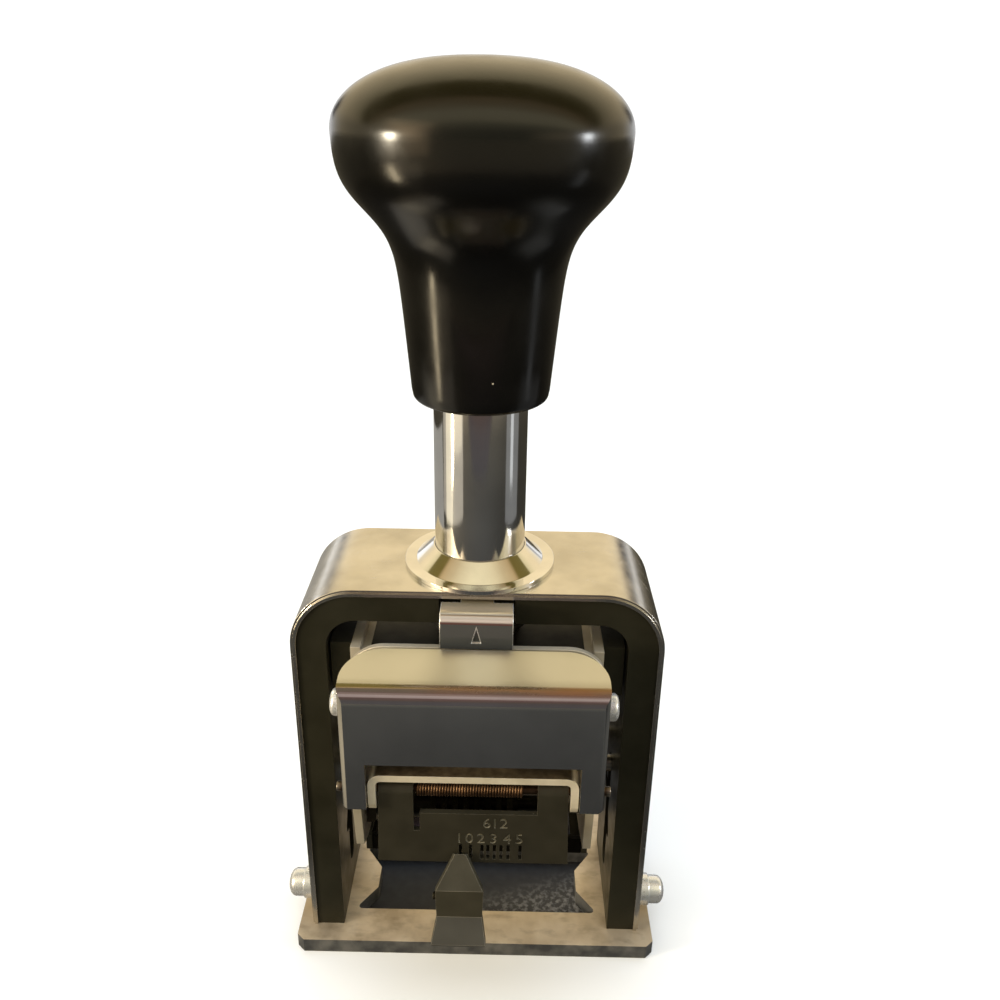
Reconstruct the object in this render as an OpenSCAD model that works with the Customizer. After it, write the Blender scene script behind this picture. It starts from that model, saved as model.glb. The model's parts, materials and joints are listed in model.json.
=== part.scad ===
// Automatic numbering stamp: an inverted U frame on a base plate, a mushroom knob that slides on a
// chromed column, and a carriage with number wheels, a swinging ink pad and a repeat selector.
// Millimetres. X is to the right, Y to the back, Z up. The origin is on the paper under the plunger.

/* [Frame] */
// Outside width of the U frame
frame_w = 55; // [52:0.5:62]
// Depth of the U frame, front to back
frame_d = 21.6; // [20:0.2:26]
// Height of the frame's top face above the paper
frame_top = 67; // [65:0.5:75]
// Thickness of a leg, bright strip included
leg_t = 5.3; // [5:0.1:6]
// Height of the crossbar, bright strip included
bar_t = 5; // [4.8:0.1:6]
// Outside radius of the frame's two corners
corner_r = 9.5; // [7:0.5:12]
// Inside radius of the frame's two corners
inner_r = 4.5; // [2:0.5:6]
// Thickness of the bright strip round the frame
band_t = 0.9; // [0.6:0.1:1.2]
// How far the strip's edge stands proud of the black faces
rim = 0.3; // [0.1:0.1:0.6]

/* [Base] */
// Width of the base plate
base_w = 59.4; // [58:0.2:70]
// Depth of the base plate
base_d = 32; // [30:0.5:36]
// How far the base plate reaches in front of the plunger's axis
base_front = 14; // [13:0.5:16]
// Thickness of the base plate
base_t = 2.6; // [2:0.1:3]
// Width of the print window at its widest
window_w = 41.6; // [38:0.2:42]
// Depth of the print window
window_d = 14.4; // [14:0.1:18]
// How far each pointer tooth reaches into the window
tooth_l = 3.3; // [1:0.1:3.6]
// Width of a pointer tooth at its tip
tooth_w = 4.8; // [2:0.2:6]

/* [Knob and column] */
// Largest radius of the knob
knob_r = 19.26; // [17:0.2:24]
// Radius of the knob's lower end
neck_r = 9.6; // [9.2:0.1:12]
// Height of the knob
knob_h = 43.9; // [40:0.5:55]
// Radius of the column
column_r = 6.75; // [6:0.05:7.5]
// Wall of the column
column_wall = 1.35; // [1:0.05:1.6]
// Radius of the collar's flange
collar_r = 11.3; // [10:0.1:13]
// Height of the collar
collar_h = 3.1; // [2:0.1:4]
// Radius of the plunger rod
rod_r = 2.5; // [2:0.1:2.8]
// Wire of the return spring
spring_wire = 1.2; // [0.8:0.1:1.3]
// Turns of the return spring
spring_turns = 13; // [8:1:16]

/* [Motion] */
// Travel of the knob and the carriage
stroke = 20; // [16:0.5:20]
// Travel of the lock clip
lock_travel = 3; // [2:0.1:3.2]
// Swing of the ink pad over the whole stroke, degrees
pad_swing = 105; // [98:1:108]
// Travel of the selector lever
selector_travel = 8.6; // [5:0.2:9]

/* [Number wheels] */
// Radius over the corners of a number wheel
wheel_r = 9; // [8:0.1:9.2]
// Distance from one wheel to the next
wheel_pitch = 3.9; // [3.2:0.1:4]
// Thickness of the ratchet on a wheel
ratchet_t = 0.8; // [0.7:0.1:1]
// Radius of the wheel shaft
shaft_r = 2.5; // [2:0.1:3]

/* [Carriage] */
// Distance between the side plates
plate_gap = 32; // [31:0.2:33]
// Thickness of a side plate
plate_t = 1.2; // [1:0.1:1.4]
// Thickness of the yoke
yoke_t = 4; // [3:0.5:5]
// Sheet of the hood
hood_t = 0.9; // [0.6:0.1:1.2]
// Depth of the hood, front to back
hood_d = 8.8; // [8.4:0.1:10]
// Height of the hood at its back edge
hood_h = 20.9; // [20:0.1:22]
// Slope of the hood's roof down to the front, degrees
roof_slope = 10; // [4:1:14]
// Radius of the hood's two back corners
hood_back_r = 5.8; // [2:0.2:6.2]
// Radius of the bend at the hood's front edge
hood_bend_r = 2.5; // [1.3:0.1:3]
// Width of the cut-out in the hood's front
cutout_w = 29.8; // [29:0.1:31]
// Height of the cut-out in the hood's front
cutout_h = 7.7; // [7.4:0.1:9]
// Thickness of the pad tray's floor and walls
tray_t = 1; // [0.8:0.1:1.4]
// Thickness of the ink pad
pad_h = 3.5; // [2:0.1:4]
// Depth of the ink pad, front to back
pad_d = 10.8; // [9:0.2:11]

/* [Scale flap and lever] */
// Width of the scale flap
flap_w = 26.7; // [25:0.1:26.8]
// Length of the flap below its hinge
flap_h = 12.2; // [11:0.1:13]
// Sheet of the flap
flap_t = 0.9; // [0.7:0.1:1.2]
// Radius of the hinge pin
hinge_r = 0.7; // [0.5:0.05:0.75]
// Wire of the flap spring
coil_wire = 0.42; // [0.3:0.02:0.44]
// Turns of the flap spring
coil_turns = 17; // [10:1:18]
// Sheet of the selector lever
lever_t = 0.8; // [0.6:0.1:1]
// Width of the lever's thumb end
lever_w = 7.8; // [6.8:0.1:9]
// Width of the lock clip
clip_w = 10.4; // [8:0.1:11]
// Sheet of the lock clip
clip_t = 0.9; // [0.6:0.1:1]

/* [Hidden] */

$fn = 64;
// Small overlap that lets a cut run clean through a face
cut = 0.5;
// Radial clearance of a screw or rivet in its hole
fit = 0.03;
// Radial clearance of a piece that turns or slides on another
run = 0.05;
// Clearance between moving pieces
gap = 0.3;

// Frame
inner_w = frame_w - 2 * leg_t;
leg_x = inner_w / 2;
black_w = frame_w - 2 * band_t;
black_d = frame_d - 2 * rim;
bar_bottom = frame_top - bar_t;
leg_mid_x = (leg_x + black_w / 2) / 2;
// Steps that give the bright strip its double edge line
edge_step = 0.35;
side_screw_y = -6;
side_screw_z = 7.2;
side_screw_r = 1.2;
side_head_r = 2.6;
side_head_h = 1.8;
side_dome_r = 2.3;
side_dome_h = 2.7;
// Share of a screw's dome that is rounded, and how much wider than high its rounding is
dome_share = 0.45;
dome_spread = 1.6;
window_r = 0.6;
base_screw_y = 7.6;
base_screw_r = 1.2;
base_head_r = 2.3;
base_screw_l = 2.5;
base_screw_sink = 0.1;
corner_cut = 1.2;

// Column, collar and what the column holds
collar_top = frame_top + collar_h;
flange_t = 0.7;
collar_foot_r = 9.55;
collar_edge = 0.2;
nut_h = 3.2;
nut_r = 10;
nut_gap = 0.1;
column_bottom = bar_bottom - nut_gap - nut_h - gap;
bush_r = column_r - column_wall - fit;
bush_lift = 1.5;
bush_top = frame_top + bush_lift;
// Rest gap between the column's end and the washer that stops the carriage
stop_gap = 0.2;
washer_h = 2.1;
washer_r = 6.4;
yoke_top = column_bottom - stop_gap - washer_h;
yoke_d = 17;
rod_nut_h = 3.5;
rod_nut_r = 4.6;

// Knob: it clears the collar by this much at the end of the stroke
knob_gap = 2.9;
knob_z = collar_top + stroke + knob_gap;
knob_top = knob_z + knob_h;
bore_play = 0.15;
knob_bore_r = column_r + bore_play;
// The column still sits this deep in the knob at rest
column_lap = 3;
column_top = knob_z + column_lap;
bore_spare = 2;
bore_top = column_top + stroke + bore_spare;
insert_r = 4;
insert_flange_r = 6.4;
insert_flange_t = 1.2;
insert_h = 9;
// How far the rod stops below the insert's top, and how far it comes out under its nut
rod_short = 3;
rod_end = 0.5;
spring_bottom = bush_top;
spring_top = bore_top - insert_flange_t;
spring_mean_r = (rod_r + column_r - column_wall) / 2;
spring_seat = spring_wire * 0.75;
lock_groove_r = 1.8;
lock_groove_w = 2;
lock_depth = 12;
// Widest ring of the knob and the curve of its shoulder
crown_h = 8.83;
crown_z = knob_top - crown_h;
neck_taper = 0.0915;
shoulder_drop = 9.3;
shoulder_z = crown_z - shoulder_drop;
shoulder_k = 2.1;
crown_power_z = 2.08;
crown_power_r = 2.34;
knob_lip_r = 0.8;
lip_x = neck_r - knob_lip_r;
lip_z = knob_z + knob_lip_r;
knob_steps = 22;

// Lock clip
clip_drop = 0.6;
clip_top = frame_top - band_t - clip_drop;
clip_bend_r = 1.5;
lock_groove_z = clip_top - clip_t / 2 - lock_groove_w / 2 + lock_depth;
// The pushed-in clip's front stops this far behind the strip's edge
clip_set = 0.1;
clip_front = frame_d / 2 + lock_travel + clip_t - clip_set;
clip_h = 5.3;
clip_bottom = clip_top - clip_h;
tongue_w = 4.8;
notch_w = clip_w + 2 * gap;
// The pocket in the crossbar leaves this wall round the column
notch_wall = 0.32;
notch_back = column_r + fit + notch_wall;
clip_play = 0.43;
clip_back = notch_back + clip_play + lock_travel;
tongue_root = 0.97;
tongue_gap = 0.35;
tongue_tip = rod_r + tongue_gap + lock_travel;
mark_w = 1.3;
mark_h = 2.4;
mark_d = 0.25;
mark_lift = 1;

// Number wheels and their shaft
wheel_count = 6;
wheel_sides = 10;
paper_gap = 0.1;
wheel_z = stroke + wheel_r + paper_gap;
wheel_play = 0.2;
ratchet_r = 7.2;
ratchet_root_r = 6.3;
// Share of a ratchet tooth's pitch that its ramp takes
ramp_share = 0.98;
stack_w = wheel_count * wheel_pitch;
plate_in = plate_gap / 2;
plate_out = plate_in + plate_t;
arm_t = 1;
arm_in = plate_out + gap;
arm_out = arm_in + arm_t;
shaft_end = 0.1;
journal_step = 0.7;
guide_step = 1.1;
journal_r = shaft_r - journal_step;
journal_end = 0.6;
guide_r = shaft_r - guide_step;
clip_ring_t = 0.7;
clip_ring_r = 3.4;
ring_play = 0.2;
clip_ring_x = arm_out + ring_play;
journal_x = clip_ring_x + clip_ring_t + journal_end;
guide_depth = 2;
guide_x = leg_x + guide_depth - ring_play;

// Ink pad: its follower pins run in curved grooves in the legs
pad_gap = 0.3;
pad_top = wheel_z - wheel_r - pad_gap;
tray_floor = pad_top - pad_h - tray_t;
tray_lip = 2;
pad_play = 0.1;
tray_out = pad_d / 2 + pad_play + tray_t;
pad_side_gap = 0.4;
pad_w = plate_gap - 2 * pad_side_gap;
pin_r = 1.2;
pin_reach = 8;
pin_collar_r = 2;
pin_collar_t = 0.9;
arm_hub_r = 3.6;
arm_leg_w = 6;
// Metal of an arm round its follower pin
pin_boss = 1;
groove_steps = 20;
swing_rate = pad_swing / stroke;

// Feed comb and detent comb
feed_arm_t = 1.2;
feed_arm_play = 0.5;
feed_arm_x = stack_w / 2 + feed_arm_play;
feed_reach = 11.3;
feed_angle = 30;
feed_bar_r = 1.5;
feed_arm_w = 4;
feed_boss = 1.2;
finger_t = 0.5;
finger_w = 1.1;
finger_gap = 0.4;
finger_tip = ratchet_r + finger_gap;
detent_reach = 10.9;
detent_angle = -69;
detent_bar_r = 1.2;
spacer_r = 4;
spacer_x = feed_arm_x + feed_arm_t + gap;

// Hood, hinge and flap: the hood's back edge stands in front of the lock clip and above its lower end
hood_clear = 1.6;
hood_rise = 0.9;
hood_in = plate_out + gap;
hood_out = hood_in + hood_t;
hood_back = clip_front + hood_clear;
hood_front = hood_back + hood_d;
hood_top = clip_bottom + hood_rise;
hood_bottom = hood_top - hood_h;
hood_bend_y = -hood_front + hood_bend_r;
hood_bend_z = roof_z(hood_bend_y) - hood_bend_r / cos(roof_slope);
hood_bend_steps = 10;
// The side walls' depth, and how far their upper back corner is cut off below the roof
hood_wall_d = 7.5;
hood_wall_drop = 4.5;
hood_corner_r = 1.4;
cutout_top = hood_bottom + cutout_h;
hood_bar_in = 5;
hood_bar_drop = 6.4;
hood_bar_y = -(hood_front - hood_bar_in);
hood_bar_z = hood_top - hood_bar_drop;
hood_bar_r = 2.2;
spigot_r = 1.6;
hood_screw_r = 0.9;
hood_screw_l = 6;
hood_screw_short = 0.5;
hood_head_r = 1.95;
hood_head_h = 1.6;
hinge_in = 2.8;
hinge_lift = 1.7;
hinge_tip = 1;
hinge_y = -(hood_front - hinge_in);
hinge_z = hood_bottom + hinge_lift;
hinge_end = hood_out + hinge_tip;
knuckle_r = 1.5;
bracket_play = 0.1;
bracket_w = cutout_w - 2 * bracket_play;
bracket_t = 1.1;
bracket_bend_r = 0.8;
bracket_drop = 2.5;
bracket_top = cutout_top - bracket_drop;
bracket_d = 3.4;
bracket_leg_r = 1.7;
// How far below the hinge the centre of each leg's round end is
bracket_leg_drop = 1.6;
bracket_front = -(hood_front - hood_t);
bracket_back = bracket_front + bracket_d;
bracket_tab_w = 12;
flap_front = hinge_y - knuckle_r;
flap_bottom = hinge_z - flap_h;
// How far each side of the flap spreads towards its lower edge
flap_flare = 0.4;
flap_notch_left = -8.5;
flap_notch_right = 9.1;
flap_notch_h = 3.3;
slit_w = 0.9;
slit_h = 3.2;
slot_w = 0.5;
slot_h = 2.7;
slot_lift = 0.6;
// Places of the repeat slots, as steps along the lever's travel
slot_steps = [0, 0.17, 0.36, 0.46, 0.57, 0.68, 0.8, 1];
lever_x = -1.8;
coil_play = 0.09;
coil_left_gap = 0.4;
coil_right_gap = 2.3;
coil_r = hinge_r + coil_wire / 2 + coil_play;
coil_left = flap_notch_left + coil_left_gap;
coil_right = flap_notch_right - coil_right_gap;

// Front plate, between the hood and the number wheels, with a head that reaches out over the side plates
front_plate_t = 1;
front_plate_in = 1.1;
front_plate_drop = 1.1;
front_plate_lift = 2;
front_plate_y = -clip_front + clip_t + front_plate_in;
front_plate_top = clip_bottom - front_plate_drop;
front_plate_bottom = wheel_z + front_plate_lift;
front_plate_r = 6;
front_head_over = 2.1;
front_head_w = 2 * (plate_out + front_head_over);
front_head_bottom = yoke_top + gap;
front_tab_h = 3;
front_tab_lifts = [5, 17];
front_tabs = [for (lift = front_tab_lifts) front_plate_bottom + lift];

// Repeat ratchet behind the flap
repeat_in = 4.8;
repeat_lift = 5.5;
repeat_y = hinge_y + repeat_in;
repeat_z = flap_bottom + repeat_lift;
repeat_axle_r = 1.2;
repeat_hub_r = 2.2;
repeat_tip_r = 3.6;
repeat_root_r = 3;
repeat_disc_t = 0.8;
repeat_discs = 8;
repeat_teeth = 12;
repeat_pitch = 1.6;
repeat_half = repeat_discs * repeat_pitch / 2;
cam_lobes = 5;
cam_t = 1.3;

// Selector lever: a bent sheet that clips round the flap's lower edge
lever_gap = 0.25;
tip_y = flap_front - lever_gap - lever_t / 2;
tip_lift = 2.1;
tip_z = flap_bottom + tip_lift;
// How far the lever's three stretches reach forward and down, and its thumb end's clearance at full stroke
tip_out = 2.9;
tip_drop = 3.9;
waist_drop = 5;
thumb_out = 3.5;
thumb_clear = 0.85;
shoulder_y = tip_y - tip_out;
lever_shoulder_z = tip_z - tip_drop;
lever_waist_z = lever_shoulder_z - waist_drop;
thumb_y = shoulder_y - thumb_out;
thumb_z = stroke + thumb_clear;
lever_tip_w = 0.8;
lever_shoulder_w = 6.9;
lever_waist_w = 6.6;
lever_web_w = 3;
lever_back_y = flap_front + flap_t + lever_gap;
lever_back_h = 3.5;
lever_web_z = flap_bottom - lever_gap - lever_t;
lever_web_y = tip_y - tip_out * (tip_z - lever_web_z - lever_t / 2) / tip_drop;
thumb_corner = 0.6;
selector_pin_r = 0.6;
selector_pin_end = 0.6;
ear_d = 2.2;
ear_h = 2.2;
ear_lift = 1.5;
ear_wall = 0.4;
ear_z = lever_waist_z + ear_lift;
selector_pin_y = shoulder_y + ear_d - selector_pin_r - ear_wall;

// Yoke screws, and the cheeks and guide shoes that they hold against the side plates
cheek_t = 1.5;
cheek_rise = 1.3;
cheek_drop = 7;
cheek_in = 1.3;
cheek_out = plate_out + cheek_t;
cheek_top = yoke_top + cheek_rise;
cheek_front = front_plate_y + front_plate_t + cheek_in;
yoke_screw_y = 6;
yoke_screw_r = 1;
yoke_screw_l = 4;
yoke_head_r = 1.8;
yoke_head_h = 0.9;
shoe_floor = 1.2;
shoe_d = 6;
shoe_h = 8.5;
shoe_out = leg_x - gap;

// Corners of a side plate
side_rear = 0.5;
side_inset = 2.5;
side_waist_drop = 3;
side_nose = 1;
side_chin_in = 1.6;
side_chin_drop = 2.5;
side_chin_lift = 1;
side_jaw_drop = 0.5;
side_foot = 3.5;
side_wall = 3.2;
side_back_lift = 18;
side_taper = 3;
side_neck = 2.5;
side_neck_slope = 2;
side_back = yoke_d / 2 + side_rear;
side_waist = wheel_r - side_inset;
side_waist_z = wheel_z - side_waist_drop;
side_front = hinge_y - side_nose;
side_chin_y = side_front + side_chin_in;
side_chin_z = hinge_z - side_chin_drop;
side_low = wheel_z - shaft_r - side_wall;
side_back_z = wheel_z + side_back_lift;
side_roof = hood_under(side_front) - 2 * gap;
side_neck_y = -hood_back + side_neck;

// Colours
black = [0.14, 0.14, 0.11];
bakelite = [0.05, 0.05, 0.05];
nickel = [0.72, 0.66, 0.52];
chrome = [0.78, 0.79, 0.8];
steel = [0.55, 0.55, 0.55];
brass = [0.75, 0.6, 0.3];
copper = [0.45, 0.3, 0.18];
felt = [0.1, 0.08, 0.16];
fibre = [0.45, 0.2, 0.14];

// Shared shapes

// A flat outline in Y and Z, made thick along X from x
module x_plate(x, t) {
    translate([x, 0, 0]) rotate([90, 0, 90]) linear_extrude(t) children();
}

// A flat outline in X and Z, made thick along Y from y
module y_plate(y, t) {
    translate([0, y + t, 0]) rotate([90, 0, 0]) linear_extrude(t) children();
}

// A round bar along X
module x_bar(x0, x1, y, z, r) {
    translate([x0, y, z]) rotate([0, 90, 0]) cylinder(r = r, h = x1 - x0);
}

module box(low, high) {
    translate(low) cube(high - low);
}

module both_sides() {
    children();
    mirror([1, 0, 0]) children();
}

// An outline with a flat foot and two rounded top corners
module arch(w, bottom, top, r) {
    translate([-w / 2, bottom]) square([w, top - r - bottom]);
    translate([-w / 2 + r, bottom]) square([w - 2 * r, top - bottom]);
    for (side = [-1, 1]) translate([side * (w / 2 - r), top - r]) circle(r);
}

// The outline of a bent strip of thickness t along the points of a path
function unit(v) = v / norm(v);
function left_of(v) = [-v[1], v[0]];
function edge_dir(p, i) = unit(p[i + 1] - p[i]);
function miter(p, i) = i == 0 ? left_of(edge_dir(p, 0))
    : i == len(p) - 1 ? left_of(edge_dir(p, i - 1))
    : let (a = left_of(edge_dir(p, i - 1)), b = left_of(edge_dir(p, i))) (a + b) / (1 + a * b);
function ribbon(p, t) = concat(
    [for (i = [0 : len(p) - 1]) p[i] + miter(p, i) * t / 2],
    [for (i = [len(p) - 1 : -1 : 0]) p[i] - miter(p, i) * t / 2]);

// A ratchet outline: each tooth rises along a ramp and drops straight
module ratchet_shape(teeth, tip, root) {
    step = 360 / teeth;
    polygon([for (i = [0 : teeth - 1], end = [0, 1])
        let (r = end == 0 ? root : tip, a = step * (i + end * ramp_share)) [r * cos(a), r * sin(a)]]);
}

// A wound spring: a helix along +Z whose two ends run straight for one wire diameter
coil_rings = 8;
coil_sides = 6;
coil_lead = 0.35;
function helix(turns, length, r, wire) = let (
    n = turns * coil_rings,
    wound = [for (i = [0 : n]) let (a = 360 * i / coil_rings) [r * cos(a), r * sin(a), length * i / n]],
    start = unit(wound[1] - wound[0] + [coil_lead * r, 0, 0]),
    end = unit(wound[n] - wound[n - 1] - [coil_lead * r, 0, 0]))
    concat([wound[0] - start * wire], wound, [wound[n] + end * wire]);
function tangent(p, i) = unit(p[min(i + 1, len(p) - 1)] - p[max(i - 1, 0)]);
function least_gap(p, wire) = min([for (i = [0 : len(p) - 1], j = [i + coil_rings / 2 : 1 : len(p) - 1])
    norm(p[i] - p[j])]) - wire;

module coil(turns, length, r, wire) {
    p = helix(turns, length, r, wire);
    echo(str("least gap of the coil of ", turns, " turns to itself: ", least_gap(p, wire), " mm"));
    rings = [for (i = [0 : len(p) - 1]) let (
        t = tangent(p, i),
        u = unit(cross(t, [0, 0, 1])),
        v = cross(u, t))
        for (k = [0 : coil_sides - 1]) let (a = 360 * k / coil_sides)
            p[i] + wire / 2 * (cos(a) * u + sin(a) * v)];
    n = len(p);
    s = coil_sides;
    walls = [for (i = [0 : n - 2], k = [0 : s - 1], half = [0, 1]) let (
        a = i * s + k, b = i * s + (k + 1) % s, c = a + s, d = b + s) half == 0 ? [a, b, d] : [a, d, c]];
    first = [for (k = [1 : s - 2]) [0, k + 1, k]];
    last = [for (k = [1 : s - 2]) [(n - 1) * s, (n - 1) * s + k, (n - 1) * s + k + 1]];
    polyhedron(points = rings, faces = concat(walls, first, last));
}

// Fixed pieces

module base_plate() color(nickel) difference() {
    linear_extrude(base_t) difference() {
        base_outline();
        window_outline();
    }
    for (side = [-1, 1], y = [-1, 1]) translate([side * leg_mid_x, y * base_screw_y, 0])
        base_screw(fit, cut);
}

module base_outline() {
    x = base_w / 2;
    front = -base_front;
    back = base_d - base_front;
    c = corner_cut;
    polygon([[-x + c, front], [x - c, front], [x, front + c], [x, back - c],
        [x - c, back], [-x + c, back], [-x, back - c], [-x, front + c]]);
}

// The print window: rounded corners, and a pointer tooth on each side that marks the printing line
module window_outline() {
    x = window_w / 2;
    y = window_d / 2;
    slant = atan2(y - tooth_w / 2, tooth_l);
    round_x = x - window_r / tan(slant / 2);
    round_y = y - window_r;
    corner = [for (a = [90 : -15 : slant - 90]) [round_x + window_r * cos(a), round_y + window_r * sin(a)]];
    quarter = concat(corner, [[x - tooth_l, tooth_w / 2]]);
    half = concat(quarter, [for (i = [len(quarter) - 1 : -1 : 0]) [quarter[i][0], -quarter[i][1]]]);
    polygon(concat(half, [for (i = [len(half) - 1 : -1 : 0]) [-half[i][0], half[i][1]]]));
}

// A countersunk screw from below, or with a clearance the hole that it needs
module base_screw(clear, below) {
    head_h = base_head_r - base_screw_r;
    sink = base_screw_sink;
    translate([0, 0, sink - below]) cylinder(r = base_head_r + clear, h = below + clear);
    translate([0, 0, sink]) cylinder(r1 = base_head_r + clear, r2 = base_screw_r + clear, h = head_h);
    translate([0, 0, sink]) cylinder(r = base_screw_r + clear, h = base_t + base_screw_l - sink + clear);
}

module base_screws() color(steel)
    for (side = [-1, 1], y = [-1, 1]) translate([side * leg_mid_x, y * base_screw_y, 0]) base_screw(0, 0);

module frame() color(black) difference() {
    y_plate(-black_d / 2, black_d) difference() {
        arch(black_w, base_t, frame_top - band_t, corner_r - band_t);
        arch(inner_w, base_t - cut, bar_bottom, inner_r);
    }
    translate([0, 0, bar_bottom - cut]) cylinder(r = column_r + fit, h = bar_t + 2 * cut);
    lock_notch();
    both_sides() {
        guide_groove();
        follower_groove();
        x_bar(leg_mid_x - fit, frame_w / 2, side_screw_y, side_screw_z, side_screw_r + fit);
        for (y = [-1, 1]) translate([leg_mid_x, y * base_screw_y, 0]) base_screw(fit, cut);
    }
}

// The pocket in the crossbar that the lock clip is pushed into
module lock_notch() {
    low = bar_bottom - cut;
    box([-notch_w / 2, -black_d / 2 - cut, low], [notch_w / 2, -notch_back, frame_top]);
    w = tongue_w / 2 + gap;
    box([-w, -black_d / 2 - cut, clip_top - clip_t - gap], [w, 0, frame_top]);
}

// The straight groove that guides an end of the wheel shaft
module guide_groove() {
    w = guide_r + gap;
    x_bar(leg_x - cut, leg_x + guide_depth, 0, wheel_z, w);
    x_bar(leg_x - cut, leg_x + guide_depth, 0, wheel_z - stroke, w);
    box([leg_x - cut, -w, wheel_z - stroke], [leg_x + guide_depth, w, wheel_z]);
}

// The curved groove of a follower pin: the pin turns with the pad while its pivot goes down
function follower_at(t) = [pin_reach * cos(swing_rate * t), wheel_z - t + pin_reach * sin(swing_rate * t)];
function follower_side(t) = left_of(unit(follower_at(t + 0.01) - follower_at(t - 0.01)));
module follower_groove() {
    w = pin_r + gap;
    times = [for (i = [0 : groove_steps]) stroke * i / groove_steps];
    x_plate(leg_x - cut, guide_depth + cut) polygon(concat(
        [for (t = times) follower_at(t) + w * follower_side(t)],
        [for (i = [groove_steps : -1 : 0]) follower_at(times[i]) - w * follower_side(times[i])]));
    for (t = [0, stroke]) x_bar(leg_x - cut, leg_x + guide_depth, follower_at(t)[0], follower_at(t)[1], w);
}

module frame_band() color(nickel) difference() {
    union() {
        band_layer(frame_w, frame_top, corner_r, frame_d - 2 * edge_step);
        band_layer(frame_w - 2 * edge_step, frame_top - edge_step, corner_r - edge_step, frame_d);
    }
    translate([0, 0, bar_bottom]) cylinder(r = column_r + fit, h = bar_t + cut);
    both_sides() x_bar(leg_mid_x, frame_w / 2 + cut, side_screw_y, side_screw_z, side_screw_r + fit);
}

module band_layer(w, top, r, d) {
    y_plate(-d / 2, d) difference() {
        arch(w, base_t, top, r);
        arch(black_w, base_t - cut, frame_top - band_t, corner_r - band_t);
    }
}

module side_screws() color(chrome) both_sides() {
    x = frame_w / 2;
    x_bar(leg_mid_x, x, side_screw_y, side_screw_z, side_screw_r);
    x_bar(x, x + side_head_h, side_screw_y, side_screw_z, side_head_r);
    translate([x + side_head_h, side_screw_y, side_screw_z]) rotate([0, 90, 0])
        dome(side_dome_r, side_dome_h);
}

// A round head with a domed end
module dome(r, h) {
    edge = h * dome_share;
    rotate_extrude() polygon(concat([[0, 0], [r, 0], [r, h - edge]],
        [for (a = [15 : 15 : 90]) [r - edge * dome_spread * (1 - cos(a)), h - edge + edge * sin(a)]],
        [[0, h]]));
}

module guide_collar() color(chrome) rotate_extrude() polygon([
    [column_r + fit, frame_top], [collar_r, frame_top], [collar_r, frame_top + flange_t],
    [collar_foot_r, frame_top + flange_t], [column_r + collar_edge, collar_top],
    [column_r + fit, collar_top]]);

module guide_column() color(chrome) difference() {
    h = column_top - column_bottom;
    translate([0, 0, column_bottom]) cylinder(r = column_r, h = h);
    translate([0, 0, column_bottom - cut]) cylinder(r = bush_r + fit, h = h + 2 * cut);
    tongue_slot();
}

module column_bush() color(brass) difference() {
    h = bush_top - column_bottom;
    translate([0, 0, column_bottom]) cylinder(r = bush_r, h = h);
    translate([0, 0, column_bottom - cut]) cylinder(r = rod_r + run, h = h + 2 * cut);
    tongue_slot();
}

// The slot in the column and its bush that lets the lock clip's tongue in
module tongue_slot() {
    w = tongue_w / 2 + gap;
    box([-w, -column_r - cut, clip_top - clip_t - gap], [w, 0, clip_top + gap]);
}

module column_nut() color(steel) translate([0, 0, bar_bottom - nut_gap - nut_h]) difference() {
    cylinder(r = nut_r, h = nut_h, $fn = 6);
    translate([0, 0, -cut]) cylinder(r = column_r + fit, h = nut_h + 2 * cut);
}

module return_spring() color(steel) translate([0, 0, spring_bottom + spring_seat])
    coil(spring_turns, spring_top - spring_bottom - 2 * spring_seat, spring_mean_r, spring_wire);

module lock_clip() color(chrome) difference() {
    union() {
        bent_clip();
        box([-tongue_w / 2, -clip_back - tongue_root, clip_top - clip_t],
            [tongue_w / 2, -tongue_tip, clip_top]);
    }
    clip_mark();
}

// The clip's sheet: flat on top, round at the bend, then straight down in front
module bent_clip() {
    x = clip_w / 2;
    bend_y = -clip_front + clip_bend_r;
    bend_z = clip_top - clip_bend_r;
    box([-x, bend_y, clip_top - clip_t], [x, -clip_back, clip_top]);
    box([-x, -clip_front, clip_bottom], [x, -clip_front + clip_t, bend_z]);
    intersection() {
        difference() {
            x_bar(-x, x, bend_y, bend_z, clip_bend_r);
            x_bar(-x - cut, x + cut, bend_y, bend_z, clip_bend_r - clip_t);
        }
        box([-x, -clip_front, bend_z], [x, bend_y, clip_top]);
    }
}

// An engraved arrowhead that points up
module clip_mark() {
    z = clip_bottom + mark_lift;
    y_plate(-clip_front - cut, cut + mark_d) polygon([[-mark_w / 2, z], [mark_w / 2, z], [0, z + mark_h]]);
}

// Knob and plunger

// Radius of the knob at a height: a slim taper, an S-shaped shoulder, then a rounded crown
function shoulder_share(z) = 1 / (1 + exp(-(z - shoulder_z) / shoulder_k));
function taper_r(z) = neck_r + neck_taper * (z - knob_z);
function body_r(z) = taper_r(z) + (knob_r - taper_r(z)) * shoulder_share(z) / shoulder_share(crown_z);
function crown_r(u) = knob_r * pow(max(0, 1 - pow(u, crown_power_z)), 1 / crown_power_r);

module knob() color(bakelite) difference() {
    rotate_extrude() polygon(concat(
        [[0, knob_z]],
        [for (a = [0 : 22.5 : 90]) [lip_x + knob_lip_r * sin(a), lip_z - knob_lip_r * cos(a)]],
        [for (i = [1 : knob_steps]) let (z = lip_z + (crown_z - lip_z) * i / knob_steps) [body_r(z), z]],
        [for (a = [8 : 8 : 88]) [crown_r(sin(a)), crown_z + crown_h * sin(a)]],
        [[0, knob_top]]));
    translate([0, 0, knob_z - cut]) cylinder(r = knob_bore_r, h = bore_top - knob_z + cut);
    translate([0, 0, bore_top - cut]) cylinder(r = insert_r + fit, h = insert_h + cut + fit);
}

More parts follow.
